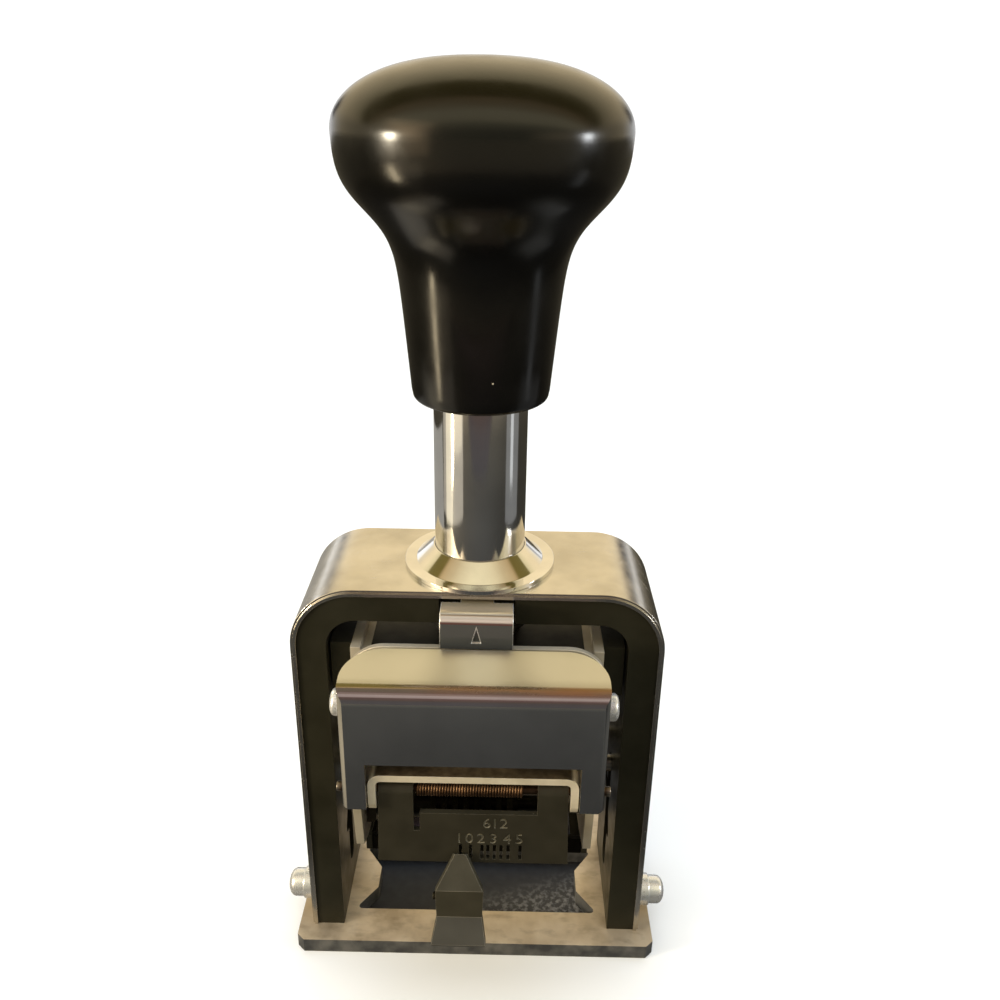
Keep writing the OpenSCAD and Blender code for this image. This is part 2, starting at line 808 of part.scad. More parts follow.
module knob_insert() color(brass) difference() {
    union() {
        translate([0, 0, bore_top]) cylinder(r = insert_r, h = insert_h);
        translate([0, 0, bore_top - insert_flange_t]) cylinder(r = insert_flange_r, h = insert_flange_t);
    }
    translate([0, 0, bore_top - insert_flange_t - cut])
        cylinder(r = rod_r + fit, h = insert_h + insert_flange_t + 2 * cut);
}

module plunger_rod() color(steel) difference() {
    bottom = yoke_top - yoke_t - rod_nut_h - rod_end;
    translate([0, 0, bottom]) cylinder(r = rod_r, h = bore_top + insert_h - rod_short - bottom);
    translate([0, 0, lock_groove_z]) difference() {
        cylinder(r = rod_r + cut, h = lock_groove_w);
        translate([0, 0, -cut]) cylinder(r = lock_groove_r, h = lock_groove_w + 2 * cut);
    }
}

module rod_nut() color(steel) translate([0, 0, yoke_top - yoke_t - rod_nut_h]) difference() {
    cylinder(r = rod_nut_r, h = rod_nut_h, $fn = 6);
    translate([0, 0, -cut]) cylinder(r = rod_r + fit, h = rod_nut_h + 2 * cut);
}

module stop_washer() color(fibre) translate([0, 0, yoke_top]) difference() {
    cylinder(r = washer_r, h = washer_h);
    translate([0, 0, -cut]) cylinder(r = rod_r + fit, h = washer_h + 2 * cut);
}

// Carriage

module yoke() color(steel) difference() {
    box([-plate_in, -yoke_d / 2, yoke_top - yoke_t], [plate_in, yoke_d / 2, yoke_top]);
    translate([0, 0, yoke_top - yoke_t - cut]) cylinder(r = rod_r + fit, h = yoke_t + 2 * cut);
    yoke_screw_bars(plate_in - yoke_screw_l - fit, plate_in + cut, yoke_screw_r + fit);
}

// The four places of the yoke screws, as round bars from x0 out to x1 on both sides
module yoke_screw_bars(x0, x1, r) {
    both_sides() for (side = [-1, 1]) x_bar(x0, x1, side * yoke_screw_y, yoke_top - yoke_t / 2, r);
}

module yoke_screws() color(steel) {
    head_x = cheek_out + shoe_floor;
    yoke_screw_bars(plate_in - yoke_screw_l, head_x, yoke_screw_r);
    yoke_screw_bars(head_x, head_x + yoke_head_h, yoke_head_r);
}

// Straps along the outside of the side plates that the yoke is screwed to
module yoke_cheeks() color(nickel) difference() {
    both_sides() box([plate_out, cheek_front, yoke_top - cheek_drop],
        [cheek_out, side_back, cheek_top]);
    yoke_screw_bars(plate_out - cut, cheek_out + cut, yoke_screw_r + fit);
}

// Black blocks that slide along the legs and keep the carriage square
module guide_shoes() color(black) difference() {
    both_sides() for (side = [-1, 1]) translate([0, side * yoke_screw_y, 0])
        box([cheek_out, -shoe_d / 2, cheek_top - shoe_h], [shoe_out, shoe_d / 2, cheek_top]);
    yoke_screw_bars(cheek_out - cut, shoe_out + cut, yoke_screw_r + fit);
    yoke_screw_bars(cheek_out + shoe_floor, shoe_out + cut, yoke_head_r + fit);
}

// Outline of a side plate: it carries the wheel shaft low down, the yoke on top and the hood in front
module side_outline() {
    polygon([[side_front, side_roof], [side_front, side_chin_z],
        [side_chin_y, flap_bottom + side_chin_lift], [repeat_y, flap_bottom - side_jaw_drop],
        [-side_waist, side_waist_z], [-side_foot, side_low],
        [side_foot, side_low], [side_waist, side_waist_z], [side_waist, side_back_z - side_taper],
        [side_back, side_back_z], [side_back, yoke_top], [side_neck_y, yoke_top],
        [side_neck_y - side_neck_slope, side_roof]]);
}

module side_plate() difference() {
    x_plate(plate_in, plate_t) side_outline();
    x_bar(plate_in - cut, plate_out + cut, 0, wheel_z, shaft_r + fit);
    x_bar(plate_in - cut, plate_out + cut, repeat_y, repeat_z, repeat_axle_r + fit);
    x_bar(plate_in - cut, plate_out + cut, hinge_y, hinge_z, hinge_r + fit);
    x_bar(plate_in - cut, plate_out + cut, hood_bar_y, hood_bar_z, spigot_r + fit);
    x_bar(plate_in - cut, plate_out + cut, detent_y, detent_z, detent_bar_r + fit);
    yoke_screw_bars(plate_in - cut, plate_out + cut, yoke_screw_r + fit);
    for (z = front_tabs) box([plate_in - cut, front_plate_y - fit, z - fit],
        [plate_out + cut, front_plate_y + front_plate_t + fit, z + front_tab_h + fit]);
}

module side_plate_left() color(nickel) mirror([1, 0, 0]) side_plate();

module side_plate_right() color(nickel) side_plate();

module front_plate() color(nickel) {
    y_plate(front_plate_y, front_plate_t) {
        difference() {
            arch(front_head_w, front_plate_bottom, front_plate_top, front_plate_r);
            for (side = [0, 1]) mirror([side, 0]) translate([plate_in - fit, front_plate_bottom - cut])
                square([front_head_w, front_head_bottom - front_plate_bottom + cut]);
        }
        for (z = front_tabs) translate([-plate_out, z]) square([2 * plate_out, front_tab_h]);
    }
}

module hood() color(chrome) difference() {
    intersection() {
        hood_shell();
        union() {
            hood_block(hood_d, hood_back_r, hood_top + cut);
            hood_block(hood_wall_d, hood_corner_r, side_roof);
        }
    }
    box([-cutout_w / 2, -hood_front - cut, hood_bottom - cut],
        [cutout_w / 2, -hood_front + hood_t + cut, cutout_top]);
    both_sides() {
        x_bar(hood_in - cut, hood_out + cut, hood_bar_y, hood_bar_z, hood_screw_r + fit);
        x_bar(hood_in - cut, hood_out + cut, hinge_y, hinge_z, hinge_r + fit);
    }
}

// The space of the hood up to a height: small corners in front, and corners of radius r at the back
module hood_block(d, r, top) {
    x = hood_out;
    front = -hood_front;
    small = hood_corner_r;
    translate([0, 0, hood_bottom - cut]) linear_extrude(top - hood_bottom + cut) {
        translate([-x, front + small]) square([2 * x, d - r - small]);
        translate([-x + r, front + small]) square([2 * x - 2 * r, d - small]);
        translate([-x + small, front]) square([2 * x - 2 * small, small + cut]);
        for (side = [-1, 1]) {
            translate([side * (x - r), front + d - r]) circle(r);
            translate([side * (x - small), front + small]) circle(small);
        }
    }
}

// Height of the roof's upper face and of its lower face at a depth
function roof_z(y) = hood_top + (y + hood_back) * tan(roof_slope);
function hood_under(y) = roof_z(y) - hood_t / cos(roof_slope);

// The hood's sheet: front and sloping roof with a round bend, and two side walls
module hood_shell() difference() {
    x_plate(-hood_out, 2 * hood_out) difference() {
        hood_side(0, 0);
        hood_wall_cut();
    }
    x_plate(-hood_in, 2 * hood_in) hood_side(hood_t, cut);
}

// Side view of the hood, drawn in by the sheet and carried on beyond its open sides
module hood_side(inset, beyond) {
    r = hood_bend_r - inset;
    back = -hood_back + beyond;
    low = hood_bottom - beyond;
    turn = (90 - roof_slope) / hood_bend_steps;
    bend = [for (i = [0 : hood_bend_steps])
        [hood_bend_y - r * cos(turn * i), hood_bend_z + r * sin(turn * i)]];
    polygon(concat([[-hood_front + inset, low]], bend,
        [[back, roof_z(back) - inset / cos(roof_slope)], [back, low]]));
}

// What the side walls leave free: all behind them, and their upper back corner under the round of the roof
module hood_wall_cut() {
    round_y = -hood_back - hood_back_r;
    wall_y = -hood_front + hood_wall_d;
    end = -hood_back + cut;
    low = hood_bottom - cut;
    polygon([[round_y, hood_under(round_y)], [end, hood_under(end)], [end, low], [wall_y, low],
        [wall_y, hood_under(wall_y) - hood_wall_drop]]);
}

module hood_bar() color(steel) difference() {
    union() {
        x_bar(-plate_in, plate_in, hood_bar_y, hood_bar_z, hood_bar_r);
        x_bar(-hood_in, hood_in, hood_bar_y, hood_bar_z, spigot_r);
    }
    both_sides() x_bar(hood_in - hood_screw_l, hood_in + cut, hood_bar_y, hood_bar_z, hood_screw_r + fit);
}

module hood_screws() color(chrome) both_sides() {
    x_bar(hood_in - hood_screw_l + hood_screw_short, hood_out, hood_bar_y, hood_bar_z, hood_screw_r);
    translate([hood_out, hood_bar_y, hood_bar_z]) rotate([0, 90, 0]) dome(hood_head_r, hood_head_h);
}

// Bent strip behind the hood's cut-out that holds the hinge pin and hangs from the hood bar by a tab
module hinge_bracket() color(nickel) difference() {
    leg_z = hinge_z - bracket_leg_drop;
    union() {
        y_plate(bracket_front, bracket_d) difference() {
            arch(bracket_w, leg_z, bracket_top, bracket_t + bracket_bend_r);
            arch(bracket_w - 2 * bracket_t, leg_z - cut, bracket_top - bracket_t, bracket_bend_r);
        }
        both_sides() x_bar(bracket_w / 2 - bracket_t, bracket_w / 2, hinge_y, leg_z, bracket_leg_r);
        box([-bracket_tab_w / 2, bracket_back - bracket_t, bracket_top - bracket_t],
            [bracket_tab_w / 2, bracket_back, hood_bar_z]);
    }
    x_bar(-hinge_end, hinge_end, hinge_y, hinge_z, hinge_r + fit);
    x_bar(-bracket_tab_w, bracket_tab_w, hood_bar_y, hood_bar_z, hood_bar_r + fit);
}

module hinge_pin() color(steel) x_bar(-hinge_end, hinge_end, hinge_y, hinge_z, hinge_r);

module flap_spring() color(copper) translate([coil_left, hinge_y, hinge_z]) rotate([0, 90, 0])
    coil(coil_turns, coil_right - coil_left, coil_r, coil_wire);

// Wheel shaft and what sits on it

module wheel_shaft() color(steel) {
    x_bar(-plate_out - shaft_end, plate_out + shaft_end, 0, wheel_z, shaft_r);
    x_bar(-journal_x, journal_x, 0, wheel_z, journal_r);
    x_bar(-guide_x, guide_x, 0, wheel_z, guide_r);
}

module shaft_spacers() color(brass) both_sides() difference() {
    x_bar(spacer_x, plate_in - shaft_end, 0, wheel_z, spacer_r);
    x_bar(spacer_x - cut, plate_in + cut, 0, wheel_z, shaft_r + fit);
}

module shaft_clips() color(steel) both_sides() difference() {
    x_bar(clip_ring_x, clip_ring_x + clip_ring_t, 0, wheel_z, clip_ring_r);
    x_bar(clip_ring_x - cut, clip_ring_x + clip_ring_t + cut, 0, wheel_z, journal_r + fit);
}

// A ten-sided number wheel with its ratchet on the right and one side facing down
module number_wheel(i) color(steel) {
    x = (i - (wheel_count + 1) / 2) * wheel_pitch - wheel_pitch / 2;
    face_w = wheel_pitch - ratchet_t - wheel_play;
    difference() {
        union() {
            translate([x, 0, wheel_z]) rotate([0, 90, 0]) rotate([0, 0, 180 / wheel_sides])
                cylinder(r = wheel_r, h = face_w, $fn = wheel_sides);
            translate([x + face_w, 0, wheel_z]) rotate([0, 90, 0]) linear_extrude(ratchet_t)
                ratchet_shape(wheel_sides, ratchet_r, ratchet_root_r);
        }
        x_bar(x - cut, x + wheel_pitch + cut, 0, wheel_z, shaft_r + run);
    }
}

// The middle of the gap in which a finger meets the ratchet of wheel i
function finger_x(i) = (i - wheel_count / 2) * wheel_pitch - (ratchet_t + wheel_play) / 2;

// Six thin fingers that point at the wheel shaft, from a bar at a reach and an angle from upright
module fingers(reach, angle) {
    translate([0, 0, wheel_z]) rotate([-angle, 0, 0]) for (i = [1 : wheel_count])
        translate([finger_x(i), 0, 0])
            box([-finger_t / 2, -finger_w / 2, finger_tip], [finger_t / 2, finger_w / 2, reach]);
}

// Feed comb: it rocks on the shaft and steps the wheels on
feed_y = feed_reach * sin(feed_angle);
feed_z = wheel_z + feed_reach * cos(feed_angle);

module feed_arms() color(steel) both_sides() difference() {
    union() {
        x_bar(feed_arm_x, feed_arm_x + feed_arm_t, 0, wheel_z, spacer_r);
        x_bar(feed_arm_x, feed_arm_x + feed_arm_t, feed_y, feed_z, feed_bar_r + feed_boss);
        translate([0, 0, wheel_z]) rotate([-feed_angle, 0, 0])
            box([feed_arm_x, -feed_arm_w / 2, 0], [feed_arm_x + feed_arm_t, feed_arm_w / 2, feed_reach]);
    }
    x_bar(feed_arm_x - cut, feed_arm_x + feed_arm_t + cut, 0, wheel_z, shaft_r + run);
    x_bar(feed_arm_x - cut, feed_arm_x + feed_arm_t + cut, feed_y, feed_z, feed_bar_r + fit);
}

module feed_comb() color(steel) {
    x_bar(-feed_arm_x - feed_arm_t, feed_arm_x + feed_arm_t, feed_y, feed_z, feed_bar_r);
    fingers(feed_reach, feed_angle);
}

// Detent comb: its fingers hold the wheels between steps
detent_y = detent_reach * sin(detent_angle);
detent_z = wheel_z + detent_reach * cos(detent_angle);

module detent_comb() color(steel) {
    x_bar(-plate_out, plate_out, detent_y, detent_z, detent_bar_r);
    fingers(detent_reach, detent_angle);
}

// Repeat counter behind the flap

module repeat_axle() color(steel) x_bar(-plate_out, plate_out, repeat_y, repeat_z, repeat_axle_r);

module repeat_ratchet() color(brass) difference() {
    union() {
        x_bar(-repeat_half, repeat_half, repeat_y, repeat_z, repeat_hub_r);
        for (i = [0 : repeat_discs - 1]) translate([-repeat_half + i * repeat_pitch, repeat_y, repeat_z])
            rotate([0, 90, 0]) linear_extrude(repeat_disc_t)
                ratchet_shape(repeat_teeth, repeat_tip_r, repeat_root_r);
    }
    x_bar(-repeat_half - cut, repeat_half + cut, repeat_y, repeat_z, repeat_axle_r + run);
}

// A lobed cam at the left end of the repeat ratchet, joined to it by a sleeve
module repeat_cam() color(brass) difference() {
    x = -plate_in + gap;
    union() {
        x_bar(x, -repeat_half, repeat_y, repeat_z, repeat_hub_r);
        translate([x, repeat_y, repeat_z]) rotate([0, 90, 0]) linear_extrude(cam_t)
            ratchet_shape(cam_lobes, repeat_tip_r, repeat_hub_r);
    }
    x_bar(x - cut, -repeat_half + cut, repeat_y, repeat_z, repeat_axle_r + run);
}

// Ink pad

module pad_arm() difference() {
    x_plate(arm_in, arm_t) {
        translate([0, wheel_z]) circle(arm_hub_r);
        translate([-arm_leg_w / 2, tray_floor]) square([arm_leg_w, wheel_z - tray_floor]);
        translate([-tray_out, tray_floor]) square([2 * tray_out, tray_t + tray_lip]);
        translate([0, wheel_z - pin_r - pin_boss]) square([pin_reach, 2 * (pin_r + pin_boss)]);
        translate([pin_reach, wheel_z]) circle(pin_r + pin_boss);
    }
    x_bar(arm_in - cut, arm_out + cut, 0, wheel_z, journal_r + run);
    x_bar(arm_in - cut, arm_out + cut, pin_reach, wheel_z, pin_r + fit);
}

module pad_arm_left() color(black) mirror([1, 0, 0]) pad_arm();

module pad_arm_right() color(black) pad_arm();

module pad_tray() color(black) {
    box([-arm_in, -tray_out, tray_floor], [arm_in, tray_out, tray_floor + tray_t]);
    for (side = [-1, 1]) {
        low = side < 0 ? -tray_out : tray_out - tray_t;
        box([-arm_in, low, tray_floor], [arm_in, low + tray_t, tray_floor + tray_t + tray_lip]);
    }
}

module ink_pad() color(felt)
    box([-pad_w / 2, -pad_d / 2, tray_floor + tray_t], [pad_w / 2, pad_d / 2, pad_top]);

module follower_pins() color(steel) both_sides() {
    x_bar(arm_in, guide_x, pin_reach, wheel_z, pin_r);
    x_bar(arm_out, arm_out + pin_collar_t, pin_reach, wheel_z, pin_collar_r);
}

// Scale flap and selector lever

module scale_flap() color(black) difference() {
    x = flap_w / 2;
    union() {
        y_plate(flap_front, flap_t) polygon([[-x - flap_flare, flap_bottom], [x + flap_flare, flap_bottom],
            [x, hinge_z], [-x, hinge_z]]);
        x_bar(-x, flap_notch_left, hinge_y, hinge_z, knuckle_r);
        x_bar(flap_notch_right, x, hinge_y, hinge_z, knuckle_r);
    }
    box([flap_notch_left, flap_front - cut, hinge_z - flap_notch_h],
        [flap_notch_right, hinge_y, hinge_z + cut]);
    box([flap_notch_left, flap_front - cut, hinge_z - flap_notch_h - slit_h],
        [flap_notch_left + slit_w, hinge_y, hinge_z]);
    for (step = slot_steps) translate([lever_x + step * selector_travel, 0, flap_bottom + slot_lift])
        box([-slot_w / 2, flap_front - cut, 0], [slot_w / 2, hinge_y, slot_h]);
    x_bar(-x - cut, x + cut, hinge_y, hinge_z, hinge_r + run);
}

module selector_lever() color(black) translate([lever_x, 0, 0]) {
    intersection() {
        x_plate(-lever_w / 2, lever_w) polygon(ribbon([[tip_y, tip_z], [shoulder_y, lever_shoulder_z],
            [shoulder_y, lever_waist_z], [thumb_y, thumb_z]], lever_t));
        y_plate(thumb_y - lever_w, hood_front + lever_w) lever_outline();
    }
    lever_ears();
    w = lever_web_w / 2;
    back = lever_back_y + lever_t;
    box([-w, lever_web_y, lever_web_z], [w, back, lever_web_z + lever_t]);
    box([-w, lever_back_y, lever_web_z], [w, back, lever_web_z + lever_t + lever_back_h]);
}

// Front view of the lever: a pointed top, a waist and a wider thumb end with rounded corners
module lever_outline() {
    c = thumb_corner;
    corner_x = lever_w / 2 - c;
    corner_z = thumb_z - lever_t / 2 + c;
    half = concat([for (a = [-90 : 15 : 0]) [corner_x + c * cos(a), corner_z + c * sin(a)]],
        [[lever_waist_w / 2, lever_waist_z], [lever_shoulder_w / 2, lever_shoulder_z],
        [lever_tip_w / 2, tip_z + lever_t]]);
    polygon(concat(half, [for (i = [len(half) - 1 : -1 : 0]) [-half[i][0], half[i][1]]]));
}

// Two ears bent back from the lever's edges, with the pin that crosses between them
module lever_ears() {
    x = lever_waist_w / 2;
    difference() {
        both_sides() box([x - lever_t, shoulder_y, ear_z], [x, shoulder_y + ear_d, ear_z + ear_h]);
        x_bar(-x - cut, x + cut, selector_pin_y, ear_z + ear_h / 2, selector_pin_r + fit);
    }
}

module selector_pin() color(steel) {
    x = lever_waist_w / 2;
    x_bar(lever_x - x - selector_pin_end, lever_x + x, selector_pin_y, ear_z + ear_h / 2, selector_pin_r);
}

base_plate();
frame();
frame_band();
guide_collar();
guide_column();
column_bush();
column_nut();
side_screws();
base_screws();
return_spring();
lock_clip();
knob();
knob_insert();
plunger_rod();
rod_nut();
stop_washer();
yoke();
yoke_screws();
yoke_cheeks();
guide_shoes();
side_plate_left();
side_plate_right();
front_plate();
hood();
hood_bar();
hood_screws();
hinge_bracket();
hinge_pin();
flap_spring();
wheel_shaft();
shaft_spacers();
shaft_clips();
repeat_axle();
repeat_ratchet();
repeat_cam();
detent_comb();
feed_arms();
feed_comb();
pad_arm_left();
pad_arm_right();
pad_tray();
ink_pad();
follower_pins();
number_wheel(1);  // number_wheel_1
number_wheel(2);  // number_wheel_2
number_wheel(3);  // number_wheel_3
number_wheel(4);  // number_wheel_4
number_wheel(5);  // number_wheel_5
number_wheel(6);  // number_wheel_6
scale_flap();
selector_lever();
selector_pin();
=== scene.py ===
"""Looks of an automatic numbering stamp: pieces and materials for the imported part, a studio and a camera."""

import json
import math

import bmesh
import bpy
from mathutils import Matrix, Vector

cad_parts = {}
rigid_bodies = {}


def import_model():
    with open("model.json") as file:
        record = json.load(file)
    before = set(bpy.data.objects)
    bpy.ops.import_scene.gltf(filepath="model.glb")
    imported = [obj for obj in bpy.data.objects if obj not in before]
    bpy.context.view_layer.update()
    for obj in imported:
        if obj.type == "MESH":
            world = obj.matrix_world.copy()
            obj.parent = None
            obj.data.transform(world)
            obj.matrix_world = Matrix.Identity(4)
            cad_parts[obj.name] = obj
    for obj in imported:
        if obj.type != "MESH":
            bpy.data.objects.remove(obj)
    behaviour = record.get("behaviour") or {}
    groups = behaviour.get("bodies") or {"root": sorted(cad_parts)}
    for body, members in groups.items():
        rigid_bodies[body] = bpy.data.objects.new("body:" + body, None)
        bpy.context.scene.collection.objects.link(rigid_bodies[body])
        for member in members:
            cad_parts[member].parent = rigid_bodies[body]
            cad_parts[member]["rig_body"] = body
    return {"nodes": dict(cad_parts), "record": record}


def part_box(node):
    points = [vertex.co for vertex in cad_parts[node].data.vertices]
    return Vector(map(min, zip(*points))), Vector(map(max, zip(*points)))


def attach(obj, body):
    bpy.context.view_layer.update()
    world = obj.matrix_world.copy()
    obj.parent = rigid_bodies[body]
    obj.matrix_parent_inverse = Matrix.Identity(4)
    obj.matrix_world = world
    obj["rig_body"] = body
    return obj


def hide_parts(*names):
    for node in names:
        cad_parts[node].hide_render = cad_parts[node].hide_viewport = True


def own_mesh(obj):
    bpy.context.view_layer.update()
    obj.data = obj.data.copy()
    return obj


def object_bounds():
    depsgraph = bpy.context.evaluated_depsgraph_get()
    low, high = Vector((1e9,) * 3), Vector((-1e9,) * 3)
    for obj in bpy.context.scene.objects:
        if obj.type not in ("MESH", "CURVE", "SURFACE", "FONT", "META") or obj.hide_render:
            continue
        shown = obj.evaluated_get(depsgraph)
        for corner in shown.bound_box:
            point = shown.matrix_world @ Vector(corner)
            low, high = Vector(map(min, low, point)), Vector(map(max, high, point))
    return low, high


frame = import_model()
cad_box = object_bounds()
scene = bpy.context.scene
MM = 0.001
NODES = frame["nodes"]
SLOT_OF = {row["node"]: row["material_slot"] for row in frame["record"]["subparts"]}


# Materials

MIX_COLOURS = (6, 7)  # the sockets of a Mix node that take colours
MIX_RESULT = 2


class Look:
    """A procedural material, built from textures that are laid out in the part's own metres."""

    def __init__(self, name, **constants):
        self.material = bpy.data.materials.new(name)
        self.material.use_nodes = True
        self.tree = self.material.node_tree
        self.shader = self.tree.nodes["Principled BSDF"]
        self.normal = None
        for key, value in constants.items():
            self.shader.inputs[key.replace("_", " ")].default_value = value

    def node(self, kind, **settings):
        made = self.tree.nodes.new(kind)
        for key, value in settings.items():
            setattr(made, key, value)
        return made

    def join(self, source, target):
        self.tree.links.new(source, target)

    def split(self, output):
        """The three numbers of a vector such as the place on the part or the face's direction."""
        made = self.node("ShaderNodeSeparateXYZ")
        self.join(output, made.inputs[0])
        return made.outputs

    def spot(self):
        return self.split(self.node("ShaderNodeTexCoord").outputs["Object"])

    def facing(self):
        return self.split(self.node("ShaderNodeNewGeometry").outputs["Normal"])

    def place(self, stretch):
        coordinates = self.node("ShaderNodeTexCoord")
        mapping = self.node("ShaderNodeMapping")
        mapping.inputs["Scale"].default_value = stretch
        self.join(coordinates.outputs["Object"], mapping.inputs["Vector"])
        return mapping.outputs["Vector"]

    def noise(self, size, detail=4, stretch=(1, 1, 1)):
        """Soft blotches about size millimetres across, finer along an axis with a stretch above 1."""
        made = self.node("ShaderNodeTexNoise")
        made.inputs["Scale"].default_value = 1 / (size * MM)
        made.inputs["Detail"].default_value = detail
        self.join(self.place(stretch), made.inputs["Vector"])
        return made.outputs["Fac"]

    def dots(self, spacing, radius, share):
        """1 in small round dots, at most one to each cell of spacing millimetres, in a share of the cells."""
        cells = self.node("ShaderNodeTexVoronoi")
        cells.inputs["Scale"].default_value = 1 / (spacing * MM)
        self.join(self.place((1, 1, 1)), cells.inputs["Vector"])
        near = self.math("LESS_THAN", cells.outputs["Distance"], radius / spacing)
        chosen = self.math("LESS_THAN", cells.outputs["Color"], share)
        return self.product(near, chosen)

    def math(self, operation, first, second=0.0):
        made = self.node("ShaderNodeMath", operation=operation)
        for socket, value in zip(made.inputs, (first, second)):
            if isinstance(value, (int, float)):
                socket.default_value = value
            else:
                self.join(value, socket)
        return made.outputs[0]

    def product(self, first, *others):
        for other in others:
            first = self.math("MULTIPLY", first, other)
        return first

    def ramp(self, factor, *stops):
        """Colours or greys along a factor; each stop is a place from 0 to 1 and a colour."""
        made = self.node("ShaderNodeValToRGB")
        elements = made.color_ramp.elements
        while len(elements) < len(stops):
            elements.new(0.5)
        for element, (position, colour) in zip(elements, stops):
            element.position = position
            element.color = (*colour, 1) if isinstance(colour, tuple) else (colour, colour, colour, 1)
        self.join(factor, made.inputs["Fac"])
        return made.outputs["Color"]

    def blotches(self, size, detail, dark, light, stops=(0.3, 0.7), stretch=(1, 1, 1)):
        """A noise that goes from the dark to the light colour or grey between two stops."""
        return self.ramp(self.noise(size, detail, stretch), (stops[0], dark), (stops[1], light))

    def mix(self, factor, first, second):
        made = self.node("ShaderNodeMix", data_type="RGBA")
        self.join(factor, made.inputs["Factor"])
        for socket, value in zip(MIX_COLOURS, (first, second)):
            if isinstance(value, tuple):
                made.inputs[socket].default_value = (*value, 1)
            else:
                self.join(value, made.inputs[socket])
        return made.outputs[MIX_RESULT]

    def span(self, source, low, high, start=0.0, end=1.0):
        """A number that goes from start to end while the source goes from low to high."""
        made = self.node("ShaderNodeMapRange", interpolation_type="SMOOTHSTEP")
        for name, value in (("From Min", low), ("From Max", high), ("To Min", start), ("To Max", end)):
            made.inputs[name].default_value = value
        self.join(source, made.inputs["Value"])
        return made.outputs["Result"]

    def fade(self, source, low, high):
        return self.span(source, low, high, start=1.0, end=0.0)

    def colour(self, source):
        self.join(source, self.shader.inputs["Base Color"])

    def roughness(self, source, low, high):
        self.join(self.ramp(source, (0.3, low), (0.7, high)), self.shader.inputs["Roughness"])

    def bump(self, height, depth):
        """Adds relief of depth millimetres to what the material has already."""
        made = self.node("ShaderNodeBump")
        made.inputs["Strength"].default_value = 1
        made.inputs["Distance"].default_value = depth * MM
        self.join(height, made.inputs["Height"])
        if self.normal:
            self.join(self.normal, made.inputs["Normal"])
        self.normal = made.outputs["Normal"]
        self.join(self.normal, self.shader.inputs["Normal"])


def bakelite():
    """Polished black bakelite: a few pale specks, soft waves and fine upright marks."""
    look = Look("bakelite", IOR=1.5)
    body = look.blotches(size=14, detail=4, dark=(0.0012, 0.0012, 0.001), light=(0.003, 0.0028, 0.0022),
                         stops=(0.35, 0.7))
    specks = look.dots(spacing=5, radius=0.16, share=0.16)
    look.colour(look.mix(specks, body, (0.55, 0.52, 0.46)))
    look.roughness(look.noise(size=5, detail=7), low=0.16, high=0.26)
    look.bump(look.noise(size=3.5, detail=3), depth=0.012)
    look.bump(look.noise(size=0.5, detail=4, stretch=(1, 1, 0.08)), depth=0.0012)
    return look.material


def painted(name, dark, light, rough, peel, shine):
    """Satin black finish: a faint olive cast, pale specks and a fine peel."""
    look = Look(name, IOR=1.48, Specular_IOR_Level=shine)
    body = look.blotches(size=6, detail=6, dark=dark, light=light, stops=(0.3, 0.75))
    specks = look.dots(spacing=2.6, radius=0.07, share=0.25)
    look.colour(look.mix(specks, body, (0.2, 0.19, 0.15)))
    look.roughness(look.noise(size=3, detail=6), *rough)
    look.bump(look.noise(size=0.45, detail=3), depth=peel)
    return look.material


LINE_SHARE = 0.4


def metal(name, dark, light, rough, grain=(1, 1, 1), patch=7.0, relief=0.002, bare=1.0):
    """Bare or plated metal: patchy tone, uneven polish, and fine lines across the axis with the most grain."""
    look = Look(name, Metallic=bare)
    look.colour(look.blotches(size=patch, detail=7, dark=dark, light=light, stops=(0.3, 0.65)))
    lines = look.noise(size=0.35, detail=5, stretch=grain)
    smears = look.noise(size=patch / 3, detail=6)
    polish = look.math("ADD", look.product(lines, LINE_SHARE), look.product(smears, 1 - LINE_SHARE))
    look.roughness(polish, *rough)
    look.bump(lines, depth=relief)
    return look.material


def worn_nickel():
    """Old nickel plate of the base: brown stains, darker ends, rubbed spots, pits and a dark smooth rim."""
    look = Look("worn_nickel", Metallic=0.5)
    stain, dark_tone = (0.16, 0.12, 0.08), (0.12, 0.1, 0.075)
    plate = look.ramp(look.noise(size=5, detail=9), (0.3, (0.47, 0.38, 0.27)), (0.5, (0.67, 0.56, 0.42)),
                      (0.75, (0.8, 0.7, 0.56)))
    stains = look.blotches(size=1.5, detail=9, dark=0.0, light=0.36, stops=(0.52, 0.74), stretch=(0.5, 1, 1))
    # the plate is darker towards its ends
    ends = look.span(look.math("ABSOLUTE", look.spot()["X"]), low=0.017, high=0.029, start=0.0, end=0.4)
    rim = look.fade(look.facing()["Z"], low=0.1, high=0.6)
    edge = look.blotches(size=2.5, detail=5, dark=(0.1, 0.105, 0.115), light=(0.24, 0.24, 0.24),
                         stops=(0.35, 0.7))
    look.colour(look.mix(rim, look.mix(ends, look.mix(stains, plate, stain), dark_tone), edge))
    look.roughness(look.noise(size=2.5, detail=8), low=0.36, high=0.55)
    look.bump(look.noise(size=0.3, detail=6), depth=0.004)
    pits = look.blotches(size=1.1, detail=5, dark=0.0, light=1.0, stops=(0.3, 0.42))
    look.bump(pits, depth=0.008)
    return look.material


